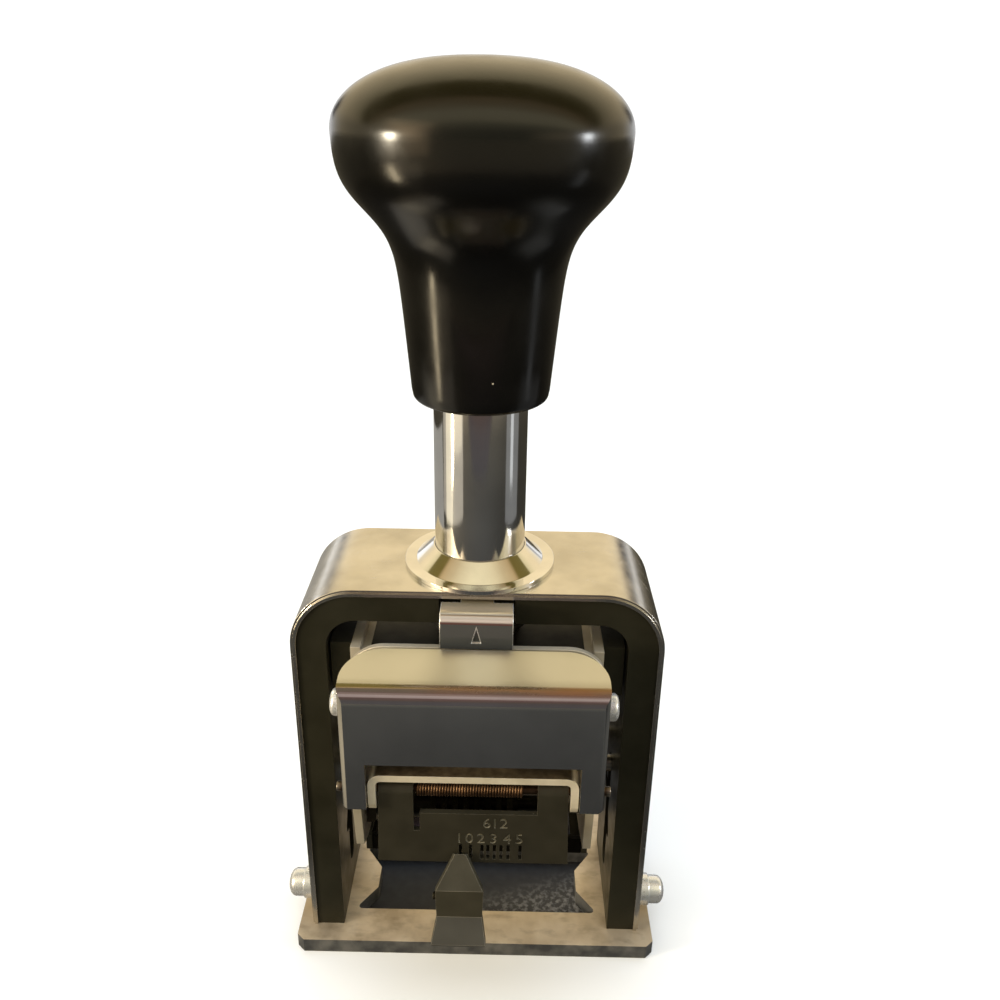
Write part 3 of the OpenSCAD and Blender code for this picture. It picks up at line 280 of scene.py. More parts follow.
def hood_chrome():
    """Chrome sheet: painted shade on its right-facing edge, painted light on the roof, copper where its bend
    is worn, and hazy on the roof.
    """
    look = Look("hood_chrome", Metallic=1)
    right, _, up = look.facing()
    x = look.spot()["X"]
    roof_up = (0.95, 0.985)
    dull, copper = (0.24, 0.24, 0.25), (0.85, 0.48, 0.31)
    # painted light: the roof is paler than the rest of the sheet, palest in its middle
    lit_roof_middle, lit_roof_sides = (0.98, 0.97, 0.94), (0.82, 0.81, 0.79)
    worn_haze, smear_haze = 0.25, 0.06

    bright = look.blotches(size=7, detail=7, dark=(0.68, 0.68, 0.67), light=(0.78, 0.78, 0.77),
                           stops=(0.3, 0.65))
    # painted shade: faces turned to the right are a dull dark grey
    right_side_shade = look.product(look.span(right, low=0.12, high=0.4), look.fade(right, low=0.9, high=0.98))
    aside = look.span(look.math("ABSOLUTE", x), low=0.004, high=0.014)
    plate = look.mix(look.span(up, *roof_up), look.mix(right_side_shade, bright, dull),
                     look.mix(aside, lit_roof_middle, lit_roof_sides))

    bend = look.product(look.span(up, low=0.62, high=0.82), look.fade(up, *roof_up))
    streaks = look.blotches(size=2.2, detail=6, dark=0.25, light=0.85, stops=(0.36, 0.6),
                            stretch=(0.12, 1, 1))
    to_the_right = look.span(x, low=-0.014, high=0.0, start=0.25, end=1.0)
    worn = look.product(bend, streaks, to_the_right)
    look.colour(look.mix(worn, plate, copper))

    haze = look.math("ADD", look.span(up, *roof_up, start=0.1, end=0.27), look.product(worn, worn_haze))
    smears = look.product(look.noise(size=2, detail=6), smear_haze)
    look.join(look.math("ADD", haze, smears), look.shader.inputs["Roughness"])
    look.bump(look.noise(size=0.35, detail=5, stretch=(9, 1, 1)), depth=0.0006)
    return look.material


def bracket_nickel():
    """Bright plate on the bracket's front, and painted brown shade on top, where the hood shades it."""
    look = Look("bracket_nickel", Metallic=0.3)
    plate = look.blotches(size=3, detail=7, dark=(0.72, 0.66, 0.54), light=(0.9, 0.84, 0.72),
                          stops=(0.3, 0.65))
    dark_tone = look.blotches(size=1.2, detail=6, dark=(0.05, 0.036, 0.022), light=(0.13, 0.1, 0.065))
    # painted shade: the top, under the hood, is dark brown
    look.colour(look.mix(look.span(look.facing()["Z"], low=0.75, high=0.95), plate, dark_tone))
    look.roughness(look.noise(size=2, detail=6), low=0.32, high=0.46)
    look.bump(look.noise(size=0.35, detail=5, stretch=(1, 8, 1)), depth=0.002)
    return look.material


def hinge_steel():
    """The hinge pin: dark brown under the spring, and bright at its ends."""
    look = Look("hinge_steel", Metallic=1)
    ends_tone = (0.7, 0.66, 0.58)
    ends = look.span(look.math("ABSOLUTE", look.spot()["X"]), low=0.0185, high=0.02)
    brown = look.blotches(size=1.5, detail=6, dark=(0.05, 0.03, 0.018), light=(0.12, 0.08, 0.05))
    look.colour(look.mix(ends, brown, ends_tone))
    look.roughness(look.noise(size=0.8, detail=6), low=0.26, high=0.42)
    return look.material


# painted light, by how far a face points up: painted reflection on the front, painted brown lines and
# highlights on the bend, and a painted tan top
CLIP_PAINTED_LIGHT = [(0.06, (0.15, 0.16, 0.17)), (0.14, (0.2, 0.1, 0.1)), (0.26, (0.24, 0.13, 0.12)),
              (0.38, (0.86, 0.8, 0.77)), (0.74, (0.86, 0.8, 0.75)), (0.85, (0.22, 0.16, 0.12)),
              (0.93, (0.8, 0.75, 0.66)), (0.985, (0.56, 0.49, 0.37))]


def clip_chrome():
    """The lock clip, with light painted by the way each face points: a dull top, a painted highlight on the
    bend between two brown lines of painted reflection, and a dark front of painted reflection.
    """
    look = Look("clip_chrome", Metallic=0.6)
    specks = look.dots(spacing=1.6, radius=0.05, share=0.2)
    look.colour(look.mix(specks, look.ramp(look.facing()["Z"], *CLIP_PAINTED_LIGHT), (0.5, 0.48, 0.42)))
    look.roughness(look.noise(size=2, detail=6), low=0.12, high=0.22)
    look.bump(look.noise(size=0.35, detail=5, stretch=(9, 1, 1)), depth=0.0006)
    return look.material


def felt():
    """Inked felt of the pad, with a short nap."""
    look = Look("felt", Roughness=0.95, Sheen_Weight=0.25)
    look.colour(look.blotches(size=1.2, detail=8, dark=(0.006, 0.004, 0.014), light=(0.03, 0.02, 0.05)))
    look.bump(look.noise(size=0.18, detail=6), depth=0.06)
    look.bump(look.noise(size=0.5, detail=3, stretch=(1, 6, 1)), depth=0.05)
    return look.material


def fibre():
    """Red-brown pressed fibre of the stop washer."""
    look = Look("fibre", Roughness=0.7)
    look.colour(look.blotches(size=0.8, detail=8, dark=(0.09, 0.03, 0.018), light=(0.2, 0.075, 0.045)))
    look.bump(look.noise(size=0.25, detail=6), depth=0.02)
    return look.material


PAINTS = {
    "frame_black": dict(dark=(0.015, 0.0143, 0.0088), light=(0.024, 0.023, 0.015), rough=(0.34, 0.46),
                        peel=0.012, shine=0.25),
    "flap_black": dict(dark=(0.024, 0.022, 0.015), light=(0.037, 0.034, 0.024), rough=(0.3, 0.44),
                       peel=0.006, shine=0.5),
    "lever_black": dict(dark=(0.04, 0.037, 0.027), light=(0.06, 0.056, 0.041), rough=(0.3, 0.44),
                        peel=0.006, shine=0.5),
    # paler edges: rubbed paint, and a painted highlight along them
    "edge_rub_and_highlight": dict(dark=(0.13, 0.12, 0.098), light=(0.3, 0.28, 0.23), rough=(0.3, 0.44),
                       peel=0.004, shine=0.5),
    "rubbed_black": dict(dark=(0.2, 0.19, 0.155), light=(0.34, 0.32, 0.265), rough=(0.3, 0.44),
                         peel=0.006, shine=0.5),
}
METALS = {
    "nickel": dict(dark=(0.5, 0.48, 0.44), light=(0.64, 0.62, 0.58), rough=(0.14, 0.3), grain=(1, 8, 1)),
    "satin_chrome": dict(dark=(0.7, 0.73, 0.78), light=(0.86, 0.88, 0.92), rough=(0.22, 0.34), relief=0.001,
                         bare=0.7),
    # near-black steel: a blackened finish, and painted shade for the parts deep inside the mechanism
    "oxide_and_shade_steel": dict(dark=(0.014, 0.013, 0.008), light=(0.06, 0.056, 0.04), rough=(0.3, 0.5),
                       grain=(9, 1, 1)),
    # painted shade: near-black for the pad tray, which sits in shade under the flap
    "shade_black_steel": dict(dark=(0.003, 0.003, 0.002), light=(0.014, 0.013, 0.01), rough=(0.4, 0.6),
                        grain=(1, 9, 1)),
    "dull_nickel": dict(dark=(0.48, 0.43, 0.34), light=(0.68, 0.63, 0.53), rough=(0.34, 0.48),
                        grain=(1, 8, 1), bare=0.5),
    "chrome": dict(dark=(0.66, 0.66, 0.66), light=(0.78, 0.78, 0.77), rough=(0.05, 0.12), grain=(1, 1, 9),
                   relief=0.0006),
    "steel": dict(dark=(0.3, 0.3, 0.29), light=(0.48, 0.48, 0.46), rough=(0.22, 0.4), grain=(9, 1, 1)),
    "wheel_steel": dict(dark=(0.03, 0.028, 0.035), light=(0.2, 0.19, 0.19), rough=(0.28, 0.48),
                        grain=(1, 9, 1), patch=3.0),
    "figure_steel": dict(dark=(0.24, 0.23, 0.24), light=(0.5, 0.48, 0.46), rough=(0.24, 0.4), patch=3.0),
    "brass": dict(dark=(0.3, 0.19, 0.08), light=(0.56, 0.41, 0.17), rough=(0.25, 0.42), grain=(9, 1, 1),
                  patch=3.0),
    "copper_wire": dict(dark=(0.1, 0.058, 0.034), light=(0.22, 0.13, 0.075), rough=(0.36, 0.5),
                        grain=(1, 6, 1), patch=2.0),
}
LOOKS = {
    **{name: painted(name, **finish) for name, finish in PAINTS.items()},
    **{name: metal(name, **finish) for name, finish in METALS.items()},
    "bakelite": bakelite(),
    "worn_nickel": worn_nickel(),
    "hood_chrome": hood_chrome(),
    "bracket_nickel": bracket_nickel(),
    "hinge_steel": hinge_steel(),
    "clip_chrome": clip_chrome(),
    "felt": felt(),
    "fibre": fibre(),
}
NODE_LOOK = {node: look for look, nodes in {
    "worn_nickel": ["base_plate"],
    "hood_chrome": ["hood"],
    "bracket_nickel": ["hinge_bracket"],
    "hinge_steel": ["hinge_pin"],
    "clip_chrome": ["lock_clip"],
    "lever_black": ["selector_lever"],
    "satin_chrome": ["hood_screws", "side_screws"],
    "dull_nickel": ["front_plate", "yoke_cheeks", "side_plate_left", "side_plate_right"],
    # painted shade as well as a blackened finish: these parts sit in shade inside the mechanism
    "oxide_and_shade_steel": ["yoke", "detent_comb", "feed_comb", "feed_arms", "repeat_ratchet", "repeat_cam",
                   "repeat_axle", "hood_bar", "selector_pin"],
    # painted shade on the pad tray
    "shade_black_steel": ["pad_tray"],
}.items() for node in nodes}


def look_of(node):
    """The node's own finish, or else that of its material slot."""
    return LOOKS[NODE_LOOK.get(node, SLOT_OF[node])]


# Building blocks

JOIN = 0.001 * MM
FLAT = math.radians(0.6)
SHARP = math.radians(32)
CRISP = math.radians(18)
FINE_EDGE = 0.3
FINE_SEGMENTS = 2
BROAD_SEGMENTS = 4
PIERCED = {"lock_clip"}


def add_piece(name, mesh, material):
    piece = bpy.data.objects.new(name, mesh)
    scene.collection.objects.link(piece)
    mesh.materials.clear()
    mesh.materials.append(material)
    return piece


def stand_for(piece, node):
    """The piece replaces a CAD node: it rides on the node's body."""
    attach(piece, NODES[node]["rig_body"])
    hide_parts(node)
    return piece


def mesh_from(name, build):
    """A mesh that build fills in, given an empty bmesh, with smooth faces."""
    bm = bmesh.new()
    build(bm)
    bmesh.ops.recalc_face_normals(bm, faces=bm.faces)
    for face in bm.faces:
        face.smooth = True
    mesh = bpy.data.meshes.new(name)
    bm.to_mesh(mesh)
    bm.free()
    return mesh


def clean_copy(node):
    """The node's shape with joined corners, and one face for each flat side unless a hole pierces one."""
    source = NODES[node].data
    mesh = bpy.data.meshes.new(node + "_look")
    mesh.from_pydata([v.co[:] for v in source.vertices], [], [p.vertices[:] for p in source.polygons])
    bm = bmesh.new()
    bm.from_mesh(mesh)
    bmesh.ops.remove_doubles(bm, verts=bm.verts, dist=JOIN)
    if node not in PIERCED:
        bmesh.ops.dissolve_limit(bm, angle_limit=FLAT, verts=bm.verts, edges=bm.edges)
    for face in bm.faces:
        face.smooth = True
    bm.to_mesh(mesh)
    bm.free()
    mesh.set_sharp_from_angle(angle=SHARP)
    return mesh


def dress(node, edge):
    """A copy of a node with its sharp edges rounded by edge millimetres, which then stands for it."""
    piece = add_piece(node + "_look", clean_copy(node), look_of(node))
    rounding = piece.modifiers.new("edges", "BEVEL")
    rounding.width = edge * MM
    rounding.segments = FINE_SEGMENTS if edge < FINE_EDGE else BROAD_SEGMENTS
    rounding.limit_method = "ANGLE"
    rounding.angle_limit = SHARP
    rounding.harden_normals = True
    return stand_for(piece, node)


def wear_edges(piece, material):
    """Gives a dressed piece's rounded edges a finish of their own."""
    piece.data.materials.append(material)
    piece.modifiers["edges"].material = len(piece.data.materials) - 1


def flatten(piece):
    """Shades a dressed piece by its larger faces, so that a flat beside a fine bend looks flat."""
    piece.modifiers["edges"].harden_normals = False
    shading = piece.modifiers.new("shading", "WEIGHTED_NORMAL")
    shading.weight = 100
    shading.keep_sharp = True


def engrave(piece, cutter):
    """Fixes a dressed piece's edges, and cuts the cutter out of it, crisply and in the cutter's finish."""
    piece.modifiers["edges"].harden_normals = False
    carve = piece.modifiers.new("figures", "BOOLEAN")
    carve.operation = "DIFFERENCE"
    carve.solver = "EXACT"
    carve.material_mode = "TRANSFER"
    carve.object = cutter
    bpy.context.view_layer.update()
    mesh = bpy.data.meshes.new_from_object(piece.evaluated_get(bpy.context.evaluated_depsgraph_get()))
    piece.modifiers.clear()
    piece.data = mesh
    mesh.set_sharp_from_angle(angle=CRISP)


def circle(sides):
    return [2 * math.pi * i / sides for i in range(sides)]


def lathe(bm, profile, sides):
    """A solid of revolution about the plunger's axis, from closed points of radius and height in mm."""
    rings = []
    for r, z in profile:
        turns = circle(sides) if r else [0]
        rings.append([bm.verts.new((r * MM * math.cos(a), r * MM * math.sin(a), z * MM)) for a in turns])
    for one, two in zip(rings, rings[1:] + rings[:1]):
        if len(one) == 1 and len(two) == 1:
            continue
        for i in range(sides):
            corners = [one[i % len(one)], one[(i + 1) % len(one)], two[(i + 1) % len(two)], two[i % len(two)]]
            bm.faces.new(list(dict.fromkeys(corners)))


def tube(bm, path, radius, sides):
    """A round wire along a path of points in mm, with closed ends."""
    rings = []
    side = Vector((0, 0, 1))
    for i, point in enumerate(path):
        ahead = (path[min(i + 1, len(path) - 1)] - path[max(i - 1, 0)]).normalized()
        side = (side - ahead * side.dot(ahead)).normalized()
        other = ahead.cross(side)
        rings.append([bm.verts.new((point + (side * math.cos(a) + other * math.sin(a)) * radius) * MM)
                      for a in circle(sides)])
    for one, two in zip(rings, rings[1:]):
        for k in range(sides):
            bm.faces.new((one[k], one[(k + 1) % sides], two[(k + 1) % sides], two[k]))
    bm.faces.new(rings[0])
    bm.faces.new(rings[-1])


FIGURE_CURVE_STEPS = 3


def number_mesh(text, height, depth):
    """Plain figures as a closed mesh, centred, height millimetres tall and depth thick, facing +Z."""
    curve = bpy.data.curves.new("figure", "FONT")
    curve.body = text
    curve.extrude = 0.5  # to both sides, so the figure is 1 thick before it is scaled to its depth
    curve.resolution_u = FIGURE_CURVE_STEPS
    holder = bpy.data.objects.new("figure", curve)
    scene.collection.objects.link(holder)
    bpy.context.view_layer.update()
    mesh = bpy.data.meshes.new_from_object(holder.evaluated_get(bpy.context.evaluated_depsgraph_get()))
    bpy.data.objects.remove(holder)
    low = Vector(map(min, zip(*(v.co for v in mesh.vertices))))
    high = Vector(map(max, zip(*(v.co for v in mesh.vertices))))
    scale = height * MM / (high.y - low.y)
    mesh.transform(Matrix.Translation(-(low + high) / 2))
    mesh.transform(Matrix.Diagonal((scale, scale, depth * MM, 1)))
    return mesh


def joined(name, meshes):
    """One mesh of several, with doubled corners merged."""
    bm = bmesh.new()
    for mesh in meshes:
        bm.from_mesh(mesh)
        bpy.data.meshes.remove(mesh)
    bmesh.ops.remove_doubles(bm, verts=bm.verts, dist=JOIN)
    bmesh.ops.recalc_face_normals(bm, faces=bm.faces)
    mesh = bpy.data.meshes.new(name)
    bm.to_mesh(mesh)
    bm.free()
    return mesh


# CAD nodes that keep their shape, and those that get rounded edges, by the rounding in mm

for name, node in NODES.items():
    node.data.materials.clear()
    node.data.materials.append(look_of(name))

WHEELS = [f"number_wheel_{i}" for i in range(1, 7)]
EDGES = {
    0.42: ["hinge_bracket", "base_plate"],
    0.3: ["yoke"],
    0.22: ["frame", "guide_column", "rod_nut", "column_nut", "wheel_shaft"],
    0.15: ["guide_collar", "hood", "front_plate", "side_plate_left", "side_plate_right", "yoke_cheeks",
           "guide_shoes", "side_screws", "hood_bar", "follower_pins"],
    0.1: ["frame_band", "lock_clip", "scale_flap", "selector_lever", "selector_pin", "hinge_pin",
          "hood_screws", "yoke_screws", "pad_arm_left", "pad_arm_right", "pad_tray", "base_screws",
          "repeat_cam", *WHEELS],
    0.06: ["feed_arms", "feed_comb", "detent_comb", "shaft_clips", "shaft_spacers", "repeat_axle",
           "repeat_ratchet"],
}
DRESSED = {node: dress(node, edge) for edge, nodes in EDGES.items() for node in nodes}
flatten(DRESSED["lock_clip"])
wear_edges(DRESSED["lock_clip"], LOOKS["satin_chrome"])
# the flap's and lever's edges are paler: rubbed paint, and painted highlight
wear_edges(DRESSED["scale_flap"], LOOKS["edge_rub_and_highlight"])
wear_edges(DRESSED["selector_lever"], LOOKS["edge_rub_and_highlight"])


# Knob: the same lines as the solid, turned finely enough for a polished surface

KNOB_LOW, KNOB_HIGH = (corner.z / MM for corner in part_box("knob"))
KNOB_R = min(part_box("knob")[1].xy) / MM
KNOB_SIDES = 128
NECK_R = 9.6
NECK_TAPER = 0.0915
LIP_R = 0.8
CROWN_H = 8.83
CROWN_POWER_Z = 2.08
CROWN_POWER_R = 2.34
SHOULDER_DROP = 9.3
SHOULDER_SPREAD = 2.1
BORE_FIT = 0.15
BORE_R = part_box("guide_column")[1].x / MM + BORE_FIT
BORE_ROOM = 1.5
BORE_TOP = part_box("return_spring")[1].z / MM + BORE_ROOM
LIP_STEPS = 6
BODY_STEPS = 60
CROWN_STEPS = 40


def knob_profile():
    """Points of radius and height in mm: lip, neck, shoulder and crown, and back down the bore."""
    crown = KNOB_HIGH - CROWN_H
    shoulder = crown - SHOULDER_DROP
    foot = KNOB_LOW + LIP_R

    def share(z):
        return 1 / (1 + math.exp(-(z - shoulder) / SHOULDER_SPREAD))

    def radius(z):
        taper = NECK_R + NECK_TAPER * (z - KNOB_LOW)
        return taper + (KNOB_R - taper) * share(z) / share(crown)

    lip = [(NECK_R - LIP_R * (1 - math.sin(a)), KNOB_LOW + LIP_R * (1 - math.cos(a)))
           for a in (math.pi / 2 * i / LIP_STEPS for i in range(LIP_STEPS + 1))]
    heights = [foot + (crown - foot) * i / BODY_STEPS for i in range(1, BODY_STEPS + 1)]
    body = [(radius(z), z) for z in heights]
    top = []
    for i in range(1, CROWN_STEPS):
        u = math.sin(math.pi / 2 * i / CROWN_STEPS)
        top.append((KNOB_R * (1 - u ** CROWN_POWER_Z) ** (1 / CROWN_POWER_R), crown + CROWN_H * u))
    bore = [(0, BORE_TOP), (BORE_R, BORE_TOP), (BORE_R, KNOB_LOW)]
    return lip + body + top + [(0, KNOB_HIGH)] + bore


knob_mesh = mesh_from("knob_look", lambda bm: lathe(bm, knob_profile(), KNOB_SIDES))
knob_mesh.set_sharp_from_angle(angle=SHARP)
stand_for(add_piece("knob_look", knob_mesh, LOOKS["bakelite"]), "knob")


# Springs

def helix(turns, length, radius, steps):
    """Points of a spring along +Z, in mm."""
    count = turns * steps
    return [Vector((radius * math.cos(2 * math.pi * i / steps), radius * math.sin(2 * math.pi * i / steps),
                    length * i / count)) for i in range(count + 1)]


def add_spring(node, path, wire, sides):
    name = node + "_look"
    mesh = mesh_from(name, lambda bm: tube(bm, path, wire / 2, sides))
    return stand_for(add_piece(name, mesh, look_of(node)), node)


RETURN_LOW, RETURN_HIGH = (corner.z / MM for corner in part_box("return_spring"))
RETURN_WIRE = 1.2
RETURN_R = 3.95
RETURN_TURNS = 16
RETURN_STEPS = 24
RETURN_SIDES = 10
return_length = RETURN_HIGH - RETURN_LOW - RETURN_WIRE
return_path = [p + Vector((0, 0, RETURN_LOW + RETURN_WIRE / 2))
               for p in helix(RETURN_TURNS, return_length, RETURN_R, RETURN_STEPS)]
return_spring = add_spring("return_spring", return_path, RETURN_WIRE, RETURN_SIDES)
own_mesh(return_spring)

COIL_LOW, COIL_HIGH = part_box("flap_spring")
COIL_WIRE = 0.36
COIL_FIT = 0.08
COIL_TURNS = 38
COIL_STEPS = 16
COIL_SIDES = 8
HINGE = (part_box("hinge_pin")[0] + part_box("hinge_pin")[1]) / 2 / MM
COIL_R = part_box("hinge_pin")[1].z / MM - HINGE.z + COIL_WIRE / 2 + COIL_FIT
coil_start = COIL_LOW.x / MM + COIL_WIRE / 2
coil_length = (COIL_HIGH.x - COIL_LOW.x) / MM - COIL_WIRE
coil_path = [Vector((coil_start + p.z, HINGE.y + p.y, HINGE.z + p.x))
             for p in helix(COIL_TURNS, coil_length, COIL_R, COIL_STEPS)]
add_spring("flap_spring", coil_path, COIL_WIRE, COIL_SIDES)


# Ink pad: a soft block with a crowned top and rounded edges

PAD_LOW, PAD_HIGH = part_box("ink_pad")
PAD_CROWN = 0.35 * MM
PAD_ROUND = 0.9 * MM
PAD_CUTS = 15


def pad_form(bm):
    size = (PAD_HIGH - PAD_LOW) / 2
    middle = (PAD_HIGH + PAD_LOW) / 2
    inner = size - Vector((PAD_ROUND, PAD_ROUND, PAD_ROUND))
    bmesh.ops.create_cube(bm, size=2)
    bmesh.ops.subdivide_edges(bm, edges=bm.edges, cuts=PAD_CUTS, use_grid_fill=True)
    for vert in bm.verts:
        spot = Vector(vert.co[i] * size[i] for i in range(3))
        core = Vector(max(-inner[i], min(inner[i], spot[i])) for i in range(3))
        out = spot - core
        if out.length > 0:
            spot = core + out.normalized() * PAD_ROUND
        across = (1 - (spot.x / size.x) ** 2) * (1 - (spot.y / size.y) ** 2)
        if spot.z > 0:
            spot.z -= PAD_CROWN * (1 - across)
        vert.co = middle + spot


ink_pad = add_piece("ink_pad_look", mesh_from("ink_pad_look", pad_form), LOOKS["felt"])
stand_for(ink_pad, "ink_pad")


# Figures: stamped into the scale flap, and raised on the number wheels

FLAP_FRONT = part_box("scale_flap")[0].y / MM
LOWER_ROW, UPPER_ROW = 34.2, 37.0
FLAP_FIGURES = [("1", -2.0, LOWER_ROW), ("0", -0.54, LOWER_ROW), ("2", 1.1, LOWER_ROW),
                ("3", 2.9, LOWER_ROW), ("4", 4.88, LOWER_ROW), ("5", 6.6, LOWER_ROW),
                ("6", 1.96, UPPER_ROW), ("12", 3.95, UPPER_ROW)]
FIGURE_H = 1.75
FIGURE_DEPTH = 0.22
FACE_FRONT = Matrix.Rotation(math.radians(90), 4, "X")

stamped = []
for text, x, z in FLAP_FIGURES:
    figure = number_mesh(text, FIGURE_H, 2 * FIGURE_DEPTH)
    figure.transform(Matrix.Translation((x * MM, FLAP_FRONT * MM, z * MM)) @ FACE_FRONT)
    stamped.append(figure)
cutter = add_piece("flap_figures", joined("flap_figures", stamped), LOOKS["rubbed_black"])
engrave(DRESSED["scale_flap"], cutter)
bpy.data.objects.remove(cutter)

WHEEL_SIDES = 10
WHEEL_SHIFT = 3  # sides from one wheel's figures to the next one's
WHEEL_FIGURE_H = 3.9
WHEEL_FIGURE_RISE = 0.18
WHEEL_FACE = 2.9
for index, wheel in enumerate(WHEELS):
    low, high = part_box(wheel)
    axis = (low + high) / 2
    flat = (high.z - low.z) / 2
    figures = []
    for digit in range(WHEEL_SIDES):
        mesh = number_mesh(str(digit), WHEEL_FIGURE_H, 2 * WHEEL_FIGURE_RISE)
        mesh.transform(Matrix.Diagonal((-1, 1, 1, 1)))
        mesh.flip_normals()
        mesh.transform(Matrix.Translation((low.x + WHEEL_FACE / 2 * MM, axis.y, axis.z))
                       @ Matrix.Rotation(2 * math.pi * (digit + WHEEL_SHIFT * index) / WHEEL_SIDES, 4, "X")
                       @ Matrix.Translation((0, 0, -flat)) @ Matrix.Rotation(math.pi, 4, "X"))
        figures.append(mesh)
    name = f"wheel_figures_{index + 1}"
    piece = add_piece(name, joined(name, figures), LOOKS["figure_steel"])
    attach(piece, NODES[wheel]["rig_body"])


# Camera, at the photograph's place; lengths in mm, angles in radians, focus in sensor widths

CAMERA_PLACE = Vector((3.848, -130.439, 134.258))
CAMERA_YAW = -0.007
CAMERA_PITCH = 0.414
CAMERA_ROLL = 0.016
CAMERA_FOCUS = 0.960207
CAMERA_CLIP = 5
SENSOR = 36.0


def add_camera():
    level = math.cos(CAMERA_PITCH)
    ahead = Vector((math.sin(CAMERA_YAW) * level, math.cos(CAMERA_YAW) * level, -math.sin(CAMERA_PITCH)))
    right = Vector((math.cos(CAMERA_YAW), -math.sin(CAMERA_YAW), 0))
    up = right.cross(ahead)
    turned_right = right * math.cos(CAMERA_ROLL) + up * math.sin(CAMERA_ROLL)
    turned_up = up * math.cos(CAMERA_ROLL) - right * math.sin(CAMERA_ROLL)
    data = bpy.data.cameras.new("camera")
    data.sensor_width = SENSOR
    data.lens = SENSOR * CAMERA_FOCUS
    data.clip_start = CAMERA_CLIP * MM
    camera = bpy.data.objects.new("camera", data)
    scene.collection.objects.link(camera)
    axes = Matrix((turned_right, turned_up, -ahead)).transposed().to_4x4()
    camera.matrix_world = Matrix.Translation(CAMERA_PLACE * MM) @ axes
    scene.camera = camera


add_camera()


# Floor: pale, but mirrored as a dark desk, with a sheet under the window that is painted dark as shade;
# lengths in metres from here on

FLOOR_HALF = 1.6
FLOOR_DROP = 0.00005
FLOOR_Z = cad_box[0].z - FLOOR_DROP
SHEET_RISE = 0.00003
SHEET_Z = FLOOR_Z + SHEET_RISE
SHEET_IN = 0.0015
PALE = ((0.84, 0.86, 0.9), (0.86, 0.88, 0.92))
DESK_REACH = 0.6
DESK = [(0.16, (0.066, 0.072, 0.084)), (0.33, (0.045, 0.045, 0.046)), (0.43, (0.045, 0.042, 0.038)),
        (0.52, (0.19, 0.16, 0.12)), (0.62, (0.23, 0.2, 0.15)), (1.0, (0.28, 0.24, 0.17))]
DESK_UNDER = (0.12, 0.12, 0.12)
DESK_LEFT = (0.24, 0.21, 0.16)
DESK_RIGHT = (0.14, 0.14, 0.13)
LEFT_MIDDLE = 0.01
SHEET_SLANT = 2.5
SHEET_LIT_SPECKS = ((0.055, 0.056, 0.062), (0.24, 0.24, 0.25))


def flat_card(name, low, high, z, material):
    def build(bm):
        bm.faces.new([bm.verts.new((x, y, z)) for x, y in
                      ((low[0], low[1]), (high[0], low[1]), (high[0], high[1]), (low[0], high[1]))])
    add_piece(name, mesh_from(name, build), material)


def floor_look():
    """Pale where it is looked at, and a dark desk to all that it lights or that mirrors it."""
    look = Look("floor", Roughness=0.9)
    x, y, _ = look.spot()
    away = look.math("SQRT", look.math("ADD", look.product(x, x), look.product(y, y)))
    front = look.ramp(look.math("DIVIDE", away, DESK_REACH), *DESK)
    behind = look.span(y, low=-0.25, high=-0.05, start=0.0, end=0.8)
    near = look.fade(away, low=0.09, high=0.13)
    from_middle = look.math("ABSOLUTE", look.math("SUBTRACT", y, LEFT_MIDDLE))
    left = look.product(look.fade(x, low=-0.075, high=-0.045), near,
                        look.fade(from_middle, low=0.06, high=0.09))
    right = look.product(look.span(x, low=0.045, high=0.085), near,
                         look.fade(look.math("ABSOLUTE", y), low=0.03, high=0.06))
    under = look.fade(away, low=0.034, high=0.044)
    desk = look.mix(behind, front, (0.0, 0.0, 0.0))
    desk = look.mix(left, desk, DESK_LEFT)
    desk = look.mix(right, desk, DESK_RIGHT)
    desk = look.mix(under, desk, DESK_UNDER)
    pale = look.blotches(size=60, detail=3, dark=PALE[0], light=PALE[1])
    look.colour(look.mix(look.node("ShaderNodeLightPath").outputs["Is Camera Ray"], desk, pale))
    return look.material


def sheet_look():
    """The sheet that shows through the window: painted shade, with painted light and specks at its right front
    corner.
    """
    look = Look("sheet", Roughness=0.8)
    x, y, _ = look.spot()
    # painted light: a paler, speckled corner at the right front; the rest is painted shade
    corner = look.span(look.math("SUBTRACT", x, look.product(y, SHEET_SLANT)), low=0.0, high=0.028)
    plain = look.blotches(size=2, detail=5, dark=(0.024, 0.025, 0.029), light=(0.034, 0.035, 0.039))
    marks = look.blotches(size=0.9, detail=5, dark=0.0, light=1.0, stops=(0.46, 0.62))
    look.colour(look.mix(corner, plain, look.mix(marks, *SHEET_LIT_SPECKS)))
    return look.material


BASE_LOW, BASE_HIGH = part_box("base_plate")
flat_card("floor", (-FLOOR_HALF, -FLOOR_HALF), (FLOOR_HALF, FLOOR_HALF), FLOOR_Z, floor_look())
flat_card("sheet", (BASE_LOW.x + SHEET_IN, BASE_LOW.y + SHEET_IN),
          (BASE_HIGH.x - SHEET_IN, BASE_HIGH.y - SHEET_IN), SHEET_Z, sheet_look())


# Flag: the low and high edge by y and z, and its colours from low to high

FLAG_LOW = (-0.125, 0.034)
FLAG_HIGH = (-0.024, 0.1)
FLAG_HALF = 0.05
FLAG_BANDS = [(0.0, (0.08, 0.075, 0.078)), (0.42, (0.088, 0.075, 0.075)), (0.58, (0.1, 0.07, 0.06)),
              (0.66, (0.15, 0.085, 0.075)), (0.71, (0.44, 0.34, 0.31)), (0.76, (0.44, 0.34, 0.3)),
              (0.81, (0.17, 0.11, 0.095)), (0.88, (0.15, 0.12, 0.09)), (1.0, (0.16, 0.12, 0.08))]


